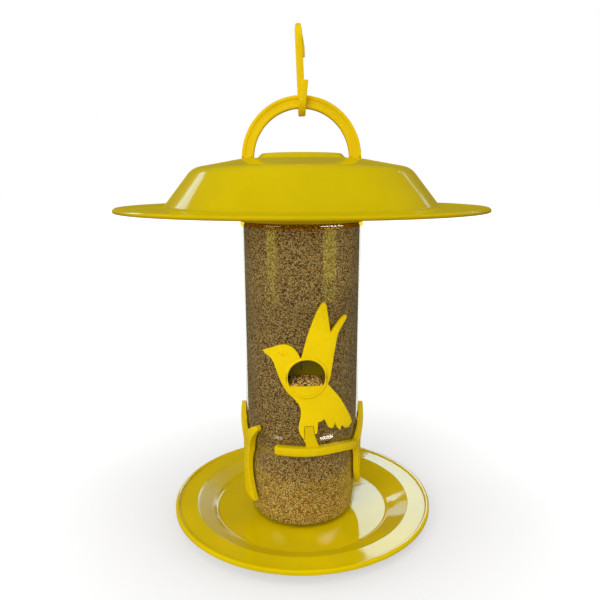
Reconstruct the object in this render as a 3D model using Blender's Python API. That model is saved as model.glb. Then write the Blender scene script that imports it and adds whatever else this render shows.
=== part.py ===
"""A hanging tube bird feeder: a clear seed jar under a wide round roof, with two bird-shaped
feeding ports, two branch perches and a round tray. Lengths are in metres, +Z is up, and the
origin is at the centre of the tray's underside."""

import math

import bmesh
import bpy
from mathutils import Matrix, Vector

# General sizes
CLEARANCE = 0.0003
OVERRUN = 0.003
WELD = 0.000001
FULL_TURN = 2 * math.pi
LARGE_STEPS = 56
JAR_STEPS = 40
SMALL_STEPS = 24
CORNER_STEPS = 2
EYE_STEPS = 8
NUT_SIDES = 6
WRAP_CELL = 0.0045
SHARP_ANGLE = math.radians(35)
STRAIGHT_ANGLE = math.radians(179)

# Tray
TRAY_RADIUS = 0.100
TRAY_HEIGHT = 0.011
TRAY_WALL = 0.0022
TRAY_FLOOR_RADIUS = 0.066
TRAY_FLANGE_RADIUS = 0.0836
TRAY_FLANGE_DROP = 0.0012
TRAY_LIP_WIDTH = 0.003
TRAY_LIP_DEPTH = 0.0036
TRAY_FILLET = 0.006
TRAY_HUB_RADIUS = 0.013
TRAY_HUB_RISE = 0.0062
TRAY_HUB_SLOPE = 0.003

# Jar, with heights measured from its own base
JAR_RADIUS = 0.043
JAR_HEIGHT = 0.2445
JAR_WALL = 0.0012
JAR_HUB_GAP = 0.001
JAR_HEEL_FILLET = 0.0035
JAR_HEEL_HEIGHT = 0.014
JAR_HEEL_INSET = 0.0025
JAR_FOOT_INSET = 0.0013
JAR_WAIST_DEPTH = 0.0028
JAR_WAIST_START = 0.0485
JAR_WAIST_LEVEL = 0.0575
JAR_WAIST_END = 0.0735
JAR_WAIST_FILLET = 0.008
JAR_BEAD_WIDTH = 0.0008
JAR_BEAD_HEIGHT = 0.0032
JAR_BEAD_LEVEL = 0.2225
JAR_NECK_INSET = 0.0015
THREAD_DEPTH = 0.0009
THREAD_HEIGHT = 0.0022
THREAD_PITCH = 0.0055
THREAD_TURNS = 2

# Screw cap and its liner
CAP_WALL = 0.0018
CAP_TOP = 0.0026
CAP_RUNNING_GAP = 0.0004
LINER_THICKNESS = 0.001

# Roof
ROOF_RADIUS = 0.1295
ROOF_WALL = 0.0022
ROOF_BRIM_LEVEL = 0.237
ROOF_LIP_DEPTH = 0.0028
ROOF_SLOPE_FOOT_RADIUS = 0.0966
ROOF_SHOULDER_RADIUS = 0.0757
ROOF_SLOPE_HEIGHT = 0.0261
ROOF_CROWN_RISE = 0.0059
ROOF_PAD_MARGIN = 0.0019
ROOF_DISC_GAP = 0.0015
ROOF_DISC_CHAMFER = 0.004
ROOF_DISC_HEIGHT = 0.0037
ROOF_SHOULDER_FILLET = 0.006
ROOF_SLOPE_FILLET = 0.0025
ROOF_SEAT_WIDTH = 0.0018

# Handle ring, an arch with an I-shaped section
HANDLE_BAR_HEIGHT = 0.0083
HANDLE_TOE = 0.003
HANDLE_DEPTH = 0.007
HANDLE_FLANGE = 0.0021
HANDLE_WEB = 0.0026
HANDLE_RIB_WIDTH = 0.0028
HANDLE_RIB_SPREAD = 0.0108
HANDLE_RIB_INSET = 0.0006
HANDLE_SOLE = 0.002
HANDLE_FOOT_GAP = 0.0006
HANDLE_FOOT_WIDTH = 0.0046
HANDLE_FOOT_DEPTH = 0.006
HANDLE_BARB = 0.0011
HANDLE_BARB_HEIGHT = 0.004
HANDLE_STEPS = 32

# Hanging hook
HOOK_WIDTH = 0.005
HOOK_THICKNESS = 0.0034
HOOK_UPPER_RADIUS = 0.0112
HOOK_SIDE_GAP = 0.0028
HOOK_HEIGHT = 0.063
HOOK_UPPER_LIMB = 0.0067
HOOK_LOWER_LIMB = 0.0125
HOOK_LEAN = 0.0026
HOOK_TILT = math.radians(-2.4)
HOOK_EDGE = 0.0009
HOOK_ARC_STEPS = 10

# Feeding port
PORT_HEIGHT = 0.123
PORT_AZIMUTH = math.radians(4)
PORT_BORE_RADIUS = 0.0134
PORT_WALL = 0.0009
PORT_RIM_WIDTH = 0.0009
PORT_RIM_THICKNESS = 0.0009
PORT_HOOD_LENGTH = 0.0155
PORT_HOOD_LIP_DROP = 0.0045
PORT_SILL_DROP = 0.006
PORT_SILL_THICKNESS = 0.0012
PORT_INNER_LAP = 0.0034

# Bird plate, with its outline in shares of its height from the port's centre
BIRD_HEIGHT = 0.095
BIRD_THICKNESS = 0.0022
BIRD_EYE_SHARES = (-0.178, 0.182)
BIRD_EYE_RADIUS = 0.0013
BIRD_EYE_HEIGHT = 0.0006
BIRD_HEAD_SHARES = (
    (-0.335, 0.193), (-0.270, 0.207), (-0.212, 0.234), (-0.154, 0.249), (-0.107, 0.243),
    (-0.084, 0.213), (-0.060, 0.178), (-0.037, 0.138),
)
BIRD_WING_SHARES = (
    (0.003, 0.303), (0.046, 0.422), (0.094, 0.523), (0.127, 0.553), (0.146, 0.540),
    (0.165, 0.443), (0.181, 0.315), (0.205, 0.352), (0.243, 0.408), (0.290, 0.430),
    (0.328, 0.439), (0.338, 0.420), (0.300, 0.368), (0.253, 0.312), (0.234, 0.240),
    (0.208, 0.138), (0.192, 0.040), (0.180, -0.022), (0.161, -0.058),
)
BIRD_TAIL_SHARES = (
    (0.268, -0.177), (0.335, -0.265), (0.398, -0.362), (0.418, -0.414), (0.385, -0.442),
    (0.354, -0.417), (0.343, -0.452), (0.315, -0.419), (0.298, -0.448), (0.238, -0.373),
    (0.214, -0.414), (0.172, -0.359), (0.156, -0.333), (0.120, -0.342), (0.098, -0.345),
    (0.096, -0.385), (0.090, -0.432),
)
BIRD_LEG_SHARES = (
    (-0.006, -0.485), (-0.037, -0.453), (-0.054, -0.405), (-0.049, -0.355),
    (-0.034, -0.308), (-0.022, -0.262), (-0.030, -0.215),
)
BIRD_BELLY_SHARES = (
    (-0.092, -0.161), (-0.144, -0.101), (-0.189, -0.035), (-0.214, 0.030), (-0.232, 0.082),
    (-0.244, 0.118), (-0.268, 0.150), (-0.316, 0.170),
)
BIRD_COLLAR_WIDTH = 0.0009
SLOT_LEFT_SHARE = -0.0168
SLOT_WIDTH_SHARE = 0.0926
SLOT_TOP_SHARE = 0.3758
SLOT_LEAN_SHARE = 0.16

# Branch: a trunk with a perch, an upright limb and a twig. Angles are measured from the front,
# and the perch's level and root are shares of the tree's height, from its foot and its middle
BRANCH_THICKNESS = 0.0024
PERCH_HEIGHT = 0.0072
PERCH_DROP = 0.0585
PERCH_STANDOFF = 0.0027
PERCH_TIP_ANGLE = math.radians(-24.5)
PERCH_FALL_ANGLE = math.radians(30)
PERCH_FALL = 0.008
PERCH_FALL_POWER_SHARE = 1.46
PERCH_STEPS = 20
PERCH_LEVEL_SHARE = 0.6653
PERCH_ROOT_SHARE = 0.1914
TRUNK_ANGLE = math.radians(90)
TREE_FOOT_LEVEL = 0.0146
TREE_SHARES = (
    (-0.030, 0.075), (0.180, 0.050), (0.411, 0.060), (0.335, 0.200), (0.280, 0.350),
    (0.290, 0.480), (0.312, 0.610), (0.361, 0.702), (0.438, 0.805), (0.500, 0.866),
    (0.478, 0.908), (0.400, 0.870), (0.305, 0.806), (0.226, 0.742), (0.150, 0.655),
    (0.085, 0.720), (0.045, 0.830), (0.020, 0.930), (-0.008, 1.000), (-0.050, 0.975),
    (-0.090, 0.880), (-0.128, 0.780), (-0.175, 0.700), (-0.236, 0.640), (-0.236, 0.420),
    (-0.212, 0.280), (-0.125, 0.150),
)
LIMB_BOW = 0.0016
LIMB_BOW_START_SHARE = 0.62
LIMB_BOW_TURN = math.radians(150)

# Seed
SEED_TOP_GAP = 0.003

# Tray fixing
BOLT_RADIUS = 0.003
BOLT_HEAD_RADIUS = 0.0062
BOLT_HEAD_HEIGHT = 0.003
BOLT_END_GAP = 0.001
WASHER_RADIUS = 0.0085
WASHER_THICKNESS = 0.0012
NUT_RADIUS = 0.0068
NUT_HEIGHT = 0.0035

# Colours (red, green, blue) and how rough each finish is
YELLOW = (0.72, 0.56, 0.0)
BRIGHT_YELLOW = (0.83, 0.67, 0.0)
CLEAR = (0.90, 0.93, 0.88)
MILLET = (0.42, 0.30, 0.14)
SOFT_WHITE = (0.80, 0.80, 0.76)
POLISHED_SHARE = 0.05
GLOSSY_SHARE = 0.2
SATIN_SHARE = 0.25
SOFT_SHARE = 0.6
GRAINY_SHARE = 0.8

# Radii, levels and heights that follow from the sizes above
JAR_HEEL_RADIUS = JAR_RADIUS - JAR_HEEL_INSET
JAR_FOOT_RADIUS = JAR_RADIUS - JAR_FOOT_INSET
JAR_WAIST_RADIUS = JAR_RADIUS - JAR_WAIST_DEPTH
JAR_NECK_RADIUS = JAR_RADIUS - JAR_NECK_INSET
TRAY_FLOOR_TOP = TRAY_WALL
TRAY_HUB_TOP = TRAY_HUB_RISE + TRAY_WALL
JAR_BASE = TRAY_FLOOR_TOP + CLEARANCE
JAR_HUB_BASE = TRAY_HUB_TOP + CLEARANCE
JAR_HUB_FLOOR = JAR_HUB_BASE + JAR_WALL
JAR_TOP = JAR_BASE + JAR_HEIGHT
BEAD_TOP = JAR_BASE + JAR_BEAD_LEVEL + JAR_BEAD_HEIGHT / 2
CAP_INNER_RADIUS = JAR_NECK_RADIUS + THREAD_DEPTH + CAP_RUNNING_GAP
CAP_OUTER_RADIUS = CAP_INNER_RADIUS + CAP_WALL
LINER_BASE = JAR_TOP + CLEARANCE
CAP_UNDERSIDE = LINER_BASE + LINER_THICKNESS + CLEARANCE
CAP_UPPER = CAP_UNDERSIDE + CAP_TOP
ROOF_SHOULDER_LEVEL = ROOF_BRIM_LEVEL + ROOF_SLOPE_HEIGHT
ROOF_CROWN_LEVEL = ROOF_SHOULDER_LEVEL + ROOF_CROWN_RISE
ROOF_TOP = ROOF_CROWN_LEVEL + ROOF_DISC_HEIGHT
HANDLE_FOOT_OUTER = JAR_NECK_RADIUS - JAR_WALL - HANDLE_FOOT_GAP - HANDLE_BARB
HANDLE_OUTER_RADIUS = HANDLE_FOOT_OUTER + HANDLE_TOE
HANDLE_INNER_RADIUS = HANDLE_OUTER_RADIUS - HANDLE_BAR_HEIGHT
HANDLE_CENTRE = ROOF_CROWN_LEVEL + CLEARANCE
ROOF_PAD_RADIUS = HANDLE_OUTER_RADIUS + ROOF_PAD_MARGIN
ROOF_DISC_RADIUS = HANDLE_INNER_RADIUS - ROOF_DISC_GAP
BIRD_INNER_RADIUS = JAR_RADIUS + CLEARANCE
BIRD_OUTER_RADIUS = BIRD_INNER_RADIUS + BIRD_THICKNESS
RIM_INNER_RADIUS = BIRD_OUTER_RADIUS + CLEARANCE
RIM_OUTER_RADIUS = RIM_INNER_RADIUS + PORT_RIM_THICKNESS
SLEEVE_RADIUS = PORT_BORE_RADIUS + PORT_WALL
PORT_HOLE_RADIUS = SLEEVE_RADIUS + CLEARANCE
SLOT_TOP_DROP = SLOT_TOP_SHARE * BIRD_HEIGHT
SLOT_LEFT = SLOT_LEFT_SHARE * BIRD_HEIGHT
SLOT_WIDTH = SLOT_WIDTH_SHARE * BIRD_HEIGHT
BRANCH_OUTER_RADIUS = BIRD_INNER_RADIUS + BRANCH_THICKNESS
PERCH_REACH = BRANCH_OUTER_RADIUS + PERCH_STANDOFF
PERCH_LEVEL = PORT_HEIGHT - PERCH_DROP
TREE_HEIGHT = (PERCH_LEVEL - TREE_FOOT_LEVEL) / PERCH_LEVEL_SHARE
PERCH_ROOT_ANGLE = TRUNK_ANGLE - PERCH_ROOT_SHARE * TREE_HEIGHT / BRANCH_OUTER_RADIUS
HOOK_LOWER_RADIUS = HANDLE_DEPTH / 2 + HOOK_SIDE_GAP + HOOK_THICKNESS / 2


def clear_scene():
    """Start from an empty scene."""
    for obj in list(bpy.data.objects):
        bpy.data.objects.remove(obj, do_unlink=True)


def material(name, colour, roughness):
    """A Principled material of one colour."""
    made = bpy.data.materials.new(name)
    made.use_nodes = True
    shader = made.node_tree.nodes["Principled BSDF"]
    shader.inputs["Base Color"].default_value = (*colour, 1.0)
    shader.inputs["Roughness"].default_value = roughness
    return made


def new_object(name, mesh_maker, finish=None):
    """An object from a bmesh, welded, with its faces turned outward."""
    bmesh.ops.remove_doubles(mesh_maker, verts=mesh_maker.verts, dist=WELD)
    bmesh.ops.dissolve_degenerate(mesh_maker, dist=WELD, edges=mesh_maker.edges)
    bmesh.ops.recalc_face_normals(mesh_maker, faces=mesh_maker.faces)
    mesh = bpy.data.meshes.new(name)
    mesh_maker.to_mesh(mesh)
    mesh_maker.free()
    mesh.shade_smooth()
    mesh.set_sharp_from_angle(angle=SHARP_ANGLE)
    obj = bpy.data.objects.new(name, mesh)
    bpy.context.scene.collection.objects.link(obj)
    if finish:
        mesh.materials.append(finish)
    return obj


def combine(target, tool, operation):
    """Apply a Boolean of one object on another, then remove the tool."""
    modifier = target.modifiers.new(operation, "BOOLEAN")
    modifier.operation = operation
    modifier.object = tool
    bpy.context.view_layer.update()
    shape = target.evaluated_get(bpy.context.evaluated_depsgraph_get())
    finish = target.data.materials[0] if target.data.materials else None
    mesh = bpy.data.meshes.new_from_object(shape)
    target.modifiers.clear()
    target.data = mesh
    mesh.materials.clear()
    if finish:
        mesh.materials.append(finish)
    bpy.data.objects.remove(tool, do_unlink=True)
    return target


def cut(target, tool):
    """Take the tool's volume out of the target."""
    return combine(target, tool, "DIFFERENCE")


def join(target, tool):
    """Fuse the tool's volume to the target."""
    return combine(target, tool, "UNION")


def keep_inside(target, tool):
    """Keep only what of the target lies inside the tool."""
    return combine(target, tool, "INTERSECT")


def rounded(corners, closed=False):
    """A line of points through corners (x, y, fillet radius), each fillet as a short arc."""
    points = []
    count = len(corners)
    for index, (x, y, radius) in enumerate(corners):
        here = Vector((x, y))
        at_end = not closed and index in (0, count - 1)
        if at_end or radius == 0:
            points.append((x, y))
            continue
        before = Vector(corners[index - 1][:2]) - here
        after = Vector(corners[(index + 1) % count][:2]) - here
        angle = before.angle(after)
        if angle > STRAIGHT_ANGLE:
            points.append((x, y))
            continue
        reach = min(radius / math.tan(angle / 2), before.length / 2, after.length / 2)
        start = here + before.normalized() * reach
        end = here + after.normalized() * reach
        for step in range(CORNER_STEPS + 1):
            share = step / CORNER_STEPS
            first = start.lerp(here, share)
            second = here.lerp(end, share)
            points.append(tuple(first.lerp(second, share)))
    return points


def offset_line(points, distance):
    """A line parallel to an open line of points, to its right when distance is positive."""
    moved = []
    for index, point in enumerate(points):
        here = Vector(point)
        normals = []
        if index > 0:
            step = (here - Vector(points[index - 1])).normalized()
            normals.append(Vector((step.y, -step.x)))
        if index < len(points) - 1:
            step = (Vector(points[index + 1]) - here).normalized()
            normals.append(Vector((step.y, -step.x)))
        mean = sum(normals, Vector((0, 0))).normalized()
        stretch = 1 / mean.dot(normals[0])
        moved.append(tuple(here + mean * distance * stretch))
    return moved


def turned(name, outline, steps, finish=None, closed=True):
    """Spin an outline of (radius, height) points about the Z axis."""
    maker = bmesh.new()
    verts = [maker.verts.new((radius, 0, height)) for radius, height in outline]
    edges = [maker.edges.new(pair) for pair in zip(verts, verts[1:])]
    if closed:
        edges.append(maker.edges.new((verts[-1], verts[0])))
    bmesh.ops.spin(
        maker, geom=verts + edges, cent=(0, 0, 0), axis=(0, 0, 1),
        angle=FULL_TURN, steps=steps, use_merge=True,
    )
    return new_object(name, maker, finish)


def disc(name, radius, low, high, steps, finish=None):
    """A plain upright cylinder between two heights."""
    return turned(name, [(0, low), (radius, low), (radius, high), (0, high)], steps, finish, closed=False)


def washer(name, inner, outer, low, high, steps, finish=None):
    """A plain upright ring between two heights."""
    return turned(name, [(inner, low), (outer, low), (outer, high), (inner, high)], steps, finish)


def block(name, low, high, finish=None):
    """A box between two opposite corners."""
    maker = bmesh.new()
    bmesh.ops.create_cube(maker, size=1)
    low, high = Vector(low), Vector(high)
    bmesh.ops.scale(maker, vec=high - low, verts=maker.verts)
    bmesh.ops.translate(maker, vec=(low + high) / 2, verts=maker.verts)
    return new_object(name, maker, finish)


def lofted(name, sections, finish=None):
    """A solid through a row of sections with equal numbers of points, closed at both ends."""
    maker = bmesh.new()
    rings = [[maker.verts.new(point) for point in section] for section in sections]
    for ring, following in zip(rings, rings[1:]):
        for step in range(len(ring)):
            after = (step + 1) % len(ring)
            maker.faces.new((ring[step], ring[after], following[after], following[step]))
    maker.faces.new(rings[0])
    maker.faces.new(rings[-1])
    return new_object(name, maker, finish)


def barrel(name, radius, near, far, height, steps, finish=None):
    """A cylinder that lies along Y between near and far, at a height."""
    angles = [FULL_TURN * step / steps for step in range(steps)]
    circle = [(radius * math.cos(angle), height + radius * math.sin(angle)) for angle in angles]
    return lofted(name, [[(x, place, z) for x, z in circle] for place in (near, far)], finish)


def on_jar(along, height, radius, mapping_radius):
    """The place on a cylinder round the Z axis, along its arc from the front."""
    angle = along / mapping_radius
    return Vector((radius * math.sin(angle), -radius * math.cos(angle), height))


def wrapped_plate(name, outline, inner, outer, finish=None, bow=None):
    """A flat outline of (arc length at the outer face, height) points, bent round the Z axis."""
    maker = bmesh.new()
    maker.faces.new([maker.verts.new((along, height, 0)) for along, height in outline])
    alongs = [along for along, height in outline]
    heights = [height for along, height in outline]
    slices = [((1, 0, 0), value) for value in spaced(min(alongs), max(alongs), WRAP_CELL)]
    if bow:
        slices += [((0, 1, 0), value) for value in spaced(min(heights), max(heights), WRAP_CELL)]
    for normal, value in slices:
        bmesh.ops.bisect_plane(
            maker, geom=maker.verts[:] + maker.edges[:] + maker.faces[:], dist=WELD,
            plane_co=Vector(normal) * value, plane_no=normal,
        )
    raised = bmesh.ops.extrude_face_region(maker, geom=maker.faces[:])["geom"]
    tops = {item for item in raised if isinstance(item, bmesh.types.BMVert)}
    for vert in maker.verts:
        along, height = vert.co.x, vert.co.y
        lift = bow(height) if bow else 0
        radius = (outer if vert in tops else inner) + lift
        vert.co = on_jar(along, height, radius, outer)
    return new_object(name, maker, finish)


def spaced(low, high, cell):
    """Even steps between two values, no wider than a cell, without the two ends."""
    count = max(1, math.ceil((high - low) / cell))
    return [low + (high - low) * step / count for step in range(1, count)]


def turn_about_z(obj, angle):
    """Turn an object's mesh about the Z axis."""
    obj.data.transform(Matrix.Rotation(angle, 4, "Z"))
    return obj


def jar_line(grow, smooth):
    """The jar's outer line from the bolt's hole to its mouth, grown outward by a distance."""
    bend = JAR_WAIST_FILLET if smooth else 0
    corners = [
        (BOLT_RADIUS + CLEARANCE, JAR_HUB_BASE, 0),
        (TRAY_HUB_RADIUS + JAR_HUB_GAP, JAR_HUB_BASE, 0),
        (TRAY_HUB_RADIUS + TRAY_HUB_SLOPE + JAR_HUB_GAP, JAR_BASE, 0),
        (JAR_HEEL_RADIUS, JAR_BASE, JAR_HEEL_FILLET),
        (JAR_FOOT_RADIUS, JAR_BASE + JAR_HEEL_HEIGHT, 0),
        (JAR_FOOT_RADIUS, JAR_BASE + JAR_WAIST_START, bend),
        (JAR_WAIST_RADIUS, JAR_BASE + JAR_WAIST_LEVEL, bend),
        (JAR_RADIUS, JAR_BASE + JAR_WAIST_END, bend),
        (JAR_RADIUS, BEAD_TOP, 0),
        (JAR_NECK_RADIUS, BEAD_TOP, 0),
        (JAR_NECK_RADIUS, JAR_TOP, 0),
    ]
    return offset_line(rounded(corners), grow)


def make_tray(finish):
    """The tray: a raised hub for the bolt, a flat floor, a sloped wall, a flange and a lip."""
    hole = BOLT_RADIUS + CLEARANCE
    hub_foot = TRAY_HUB_RADIUS + TRAY_HUB_SLOPE
    lip_inner = TRAY_RADIUS - TRAY_LIP_WIDTH
    flange = TRAY_HEIGHT - TRAY_FLANGE_DROP
    corners = [
        (hole, TRAY_HUB_TOP, 0), (TRAY_HUB_RADIUS, TRAY_HUB_TOP, 0), (hub_foot, TRAY_FLOOR_TOP, 0),
        (TRAY_FLOOR_RADIUS, TRAY_FLOOR_TOP, TRAY_FILLET), (TRAY_FLANGE_RADIUS, flange, TRAY_FILLET),
        (lip_inner, flange, 0), (lip_inner, TRAY_HEIGHT, 0), (TRAY_RADIUS, TRAY_HEIGHT, 0),
        (TRAY_RADIUS, TRAY_HEIGHT - TRAY_LIP_DEPTH, 0), (lip_inner, flange - TRAY_WALL, 0),
        (TRAY_FLANGE_RADIUS, flange - TRAY_WALL, TRAY_FILLET), (TRAY_FLOOR_RADIUS, 0, TRAY_FILLET),
        (hub_foot, 0, 0), (TRAY_HUB_RADIUS, TRAY_HUB_RISE, 0), (hole, TRAY_HUB_RISE, 0),
    ]
    return turned("tray", rounded(corners, closed=True), LARGE_STEPS, finish)


def make_jar(finish):
    """The clear jar, with a bead and threads at its neck and a hole for each feeding port."""
    inner = jar_line(-JAR_WALL, False)
    bead_radius, bead_base = JAR_RADIUS + JAR_BEAD_WIDTH, BEAD_TOP - JAR_BEAD_HEIGHT
    outer = [
        *jar_line(0, True)[:-3], (JAR_RADIUS, bead_base), (bead_radius, bead_base),
        (bead_radius, BEAD_TOP), (JAR_NECK_RADIUS, BEAD_TOP),
    ]
    root, crest = JAR_NECK_RADIUS, JAR_NECK_RADIUS + THREAD_DEPTH
    for turn in range(THREAD_TURNS, 0, -1):
        low = JAR_TOP - THREAD_PITCH * turn
        high = low + THREAD_HEIGHT
        outer += [(root, low), (crest, low), (crest, high), (root, high)]
    outer.append((root, JAR_TOP))
    jar = turned("jar", outer + inner[::-1], JAR_STEPS, finish)
    for half_turn in (0, math.pi):
        front, middle = -JAR_RADIUS - OVERRUN, -JAR_RADIUS / 2
        hole = barrel("hole", PORT_HOLE_RADIUS, front, middle, PORT_HEIGHT, SMALL_STEPS)
        cut(jar, turn_about_z(hole, PORT_AZIMUTH + half_turn))
    return jar


def port_body(front, grow):
    """The outer shape of a port: a full sleeve, then a hood that ends at the lip, grown evenly."""
    radius = SLEEVE_RADIUS + grow
    inner = JAR_RADIUS - JAR_WALL
    sleeve_end = inner - PORT_INNER_LAP - grow
    hood_end = inner - PORT_HOOD_LENGTH - grow
    lip = PORT_HEIGHT - PORT_HOOD_LIP_DROP - grow
    body = barrel("body", radius, front, -hood_end, PORT_HEIGHT, SMALL_STEPS)
    below = block(
        "below", (-radius - OVERRUN, -sleeve_end, lip - radius - OVERRUN),
        (radius + OVERRUN, OVERRUN - hood_end, lip),
    )
    return cut(body, below)


def make_seed_fill(finish):
    """The seed, which fills the jar round the bolt's head and the ports' hoods."""
    line = jar_line(-JAR_WALL - CLEARANCE, False)
    core = WASHER_RADIUS + CLEARANCE
    cover = JAR_HUB_FLOOR + WASHER_THICKNESS + BOLT_HEAD_HEIGHT + 3 * CLEARANCE
    level = CAP_UNDERSIDE - CLEARANCE - HANDLE_BARB_HEIGHT - SEED_TOP_GAP
    outline = [(0, cover), (core, cover), (core, line[0][1]), *line[1:-1], (line[-1][0], level), (0, level)]
    seed = turned("seed_fill", outline, JAR_STEPS, finish, closed=False)
    for half_turn in (0, math.pi):
        space = port_body(-JAR_RADIUS - OVERRUN, CLEARANCE)
        cut(seed, turn_about_z(space, PORT_AZIMUTH + half_turn))
    return seed


def make_cap(finish):
    """The screw cap: a flat top with two slots for the handle's feet, and a skirt."""
    skirt_end = BEAD_TOP + CLEARANCE
    outline = [
        (0, CAP_UNDERSIDE), (CAP_INNER_RADIUS, CAP_UNDERSIDE), (CAP_INNER_RADIUS, skirt_end),
        (CAP_OUTER_RADIUS, skirt_end), (CAP_OUTER_RADIUS, CAP_UPPER), (0, CAP_UPPER),
    ]
    cap = turned("jar_cap", outline, JAR_STEPS, finish, closed=False)
    cut_foot_slots(cap, CAP_UNDERSIDE - OVERRUN, CAP_UPPER + OVERRUN)
    return cap


def cut_foot_slots(target, low, high):
    """Cut the two slots that the handle's feet pass through."""
    inner = HANDLE_FOOT_OUTER - HANDLE_FOOT_WIDTH - CLEARANCE
    outer = HANDLE_FOOT_OUTER + CLEARANCE
    half = HANDLE_FOOT_DEPTH / 2 + CLEARANCE
    cut(target, block("slot", (inner, -half, low), (outer, half, high)))
    cut(target, block("slot", (-outer, -half, low), (-inner, half, high)))


def make_liner(finish):
    """The soft ring between the cap and the jar's mouth."""
    inner = JAR_NECK_RADIUS - JAR_WALL
    high = LINER_BASE + LINER_THICKNESS
    return washer("cap_liner", inner, JAR_NECK_RADIUS, LINER_BASE, high, JAR_STEPS, finish)


def roof_line(smooth):
    """The roof's top line from its centre to the edge of its lip."""
    shoulder = ROOF_SHOULDER_FILLET if smooth else 0
    foot = ROOF_SLOPE_FILLET if smooth else 0
    return rounded([
        (0, ROOF_TOP, 0),
        (ROOF_DISC_RADIUS - ROOF_DISC_CHAMFER, ROOF_TOP, 0),
        (ROOF_DISC_RADIUS, ROOF_CROWN_LEVEL, 0),
        (ROOF_PAD_RADIUS, ROOF_CROWN_LEVEL, 0),
        (ROOF_SHOULDER_RADIUS, ROOF_SHOULDER_LEVEL, shoulder),
        (ROOF_SLOPE_FOOT_RADIUS, ROOF_BRIM_LEVEL, foot),
        (ROOF_RADIUS, ROOF_BRIM_LEVEL, 0),
        (ROOF_RADIUS, ROOF_BRIM_LEVEL - ROOF_LIP_DEPTH, 0),
    ])


def make_roof(finish):
    """The roof: a raised disc, a low crown, a sloping wall and a flat brim, in one shell."""
    underside = offset_line(roof_line(False), ROOF_WALL)
    underside[0] = (0, underside[0][1])
    outline = roof_line(True) + underside[::-1]
    roof = turned("roof", outline, LARGE_STEPS, finish, closed=False)
    seat_inner = CAP_OUTER_RADIUS - ROOF_SEAT_WIDTH
    seat_top = ROOF_CROWN_LEVEL - ROOF_WALL / 2
    join(roof, washer("seat", seat_inner, CAP_OUTER_RADIUS, CAP_UPPER + CLEARANCE, seat_top, LARGE_STEPS))
    cut_foot_slots(roof, ROOF_CROWN_LEVEL - ROOF_WALL - OVERRUN, ROOF_CROWN_LEVEL + OVERRUN)
    return roof


def make_handle(finish):
    """The handle: an I-shaped arch with a sole under each end, a barbed foot and two ribs."""
    half, web = HANDLE_DEPTH / 2, HANDLE_WEB / 2
    inner, outer = HANDLE_INNER_RADIUS, HANDLE_OUTER_RADIUS
    inner_step, outer_step = inner + HANDLE_FLANGE, outer - HANDLE_FLANGE
    section = [
        (inner, -half), (inner_step, -half), (inner_step, -web), (outer_step, -web),
        (outer_step, -half), (outer, -half), (outer, half), (outer_step, half),
        (outer_step, web), (inner_step, web), (inner_step, half), (inner, half),
    ]
    sections = []
    for step in range(HANDLE_STEPS + 1):
        angle = math.pi * step / HANDLE_STEPS
        sections.append([
            (radius * math.cos(angle), side, HANDLE_CENTRE + radius * math.sin(angle))
            for radius, side in section
        ])
    handle = lofted("handle_ring", sections, finish)
    barb_top = CAP_UNDERSIDE - CLEARANCE
    barb_base = barb_top - HANDLE_BARB_HEIGHT
    foot_inner = HANDLE_FOOT_OUTER - HANDLE_FOOT_WIDTH
    foot_half = HANDLE_FOOT_DEPTH / 2
    sole_top = HANDLE_CENTRE + HANDLE_SOLE
    barb_inner, barb_outer = HANDLE_FOOT_OUTER - HANDLE_BARB, HANDLE_FOOT_OUTER + HANDLE_BARB
    for side in (-1, 1):
        for near, far, depth, low, high in (
            (inner, outer, half, HANDLE_CENTRE, sole_top),
            (foot_inner, HANDLE_FOOT_OUTER, foot_half, barb_base, HANDLE_CENTRE + HANDLE_SOLE / 2),
            (barb_inner, barb_outer, foot_half, barb_base, barb_top),
        ):
            ends = sorted((side * near, side * far))
            join(handle, block("foot", (ends[0], -depth, low), (ends[1], depth, high)))
        rib = side * HANDLE_RIB_SPREAD / 2
        reach, deep = HANDLE_RIB_WIDTH / 2, half - HANDLE_RIB_INSET
        low = HANDLE_CENTRE + inner + HANDLE_FLANGE / 2
        high = HANDLE_CENTRE + outer - HANDLE_FLANGE / 2
        join(handle, block("rib", (rib - reach, -deep, low), (rib + reach, deep, high)))
    return handle


def hook_pivot_height():
    """The height of the lower loop's centre, from where its inside just clears the ring."""
    bend = (HOOK_LOWER_RADIUS - HOOK_THICKNESS / 2) * math.cos(math.pi / HOOK_ARC_STEPS / 2)
    seat = math.sqrt(bend ** 2 - (HANDLE_DEPTH / 2) ** 2)
    edge = (HOOK_WIDTH + HOOK_LEAN) / 2
    ring_curve = HANDLE_INNER_RADIUS - math.sqrt(HANDLE_INNER_RADIUS ** 2 - edge ** 2)
    tilt_rise = edge * math.sin(abs(HOOK_TILT))
    return HANDLE_CENTRE + HANDLE_INNER_RADIUS + seat - ring_curve - tilt_rise - CLEARANCE


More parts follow.
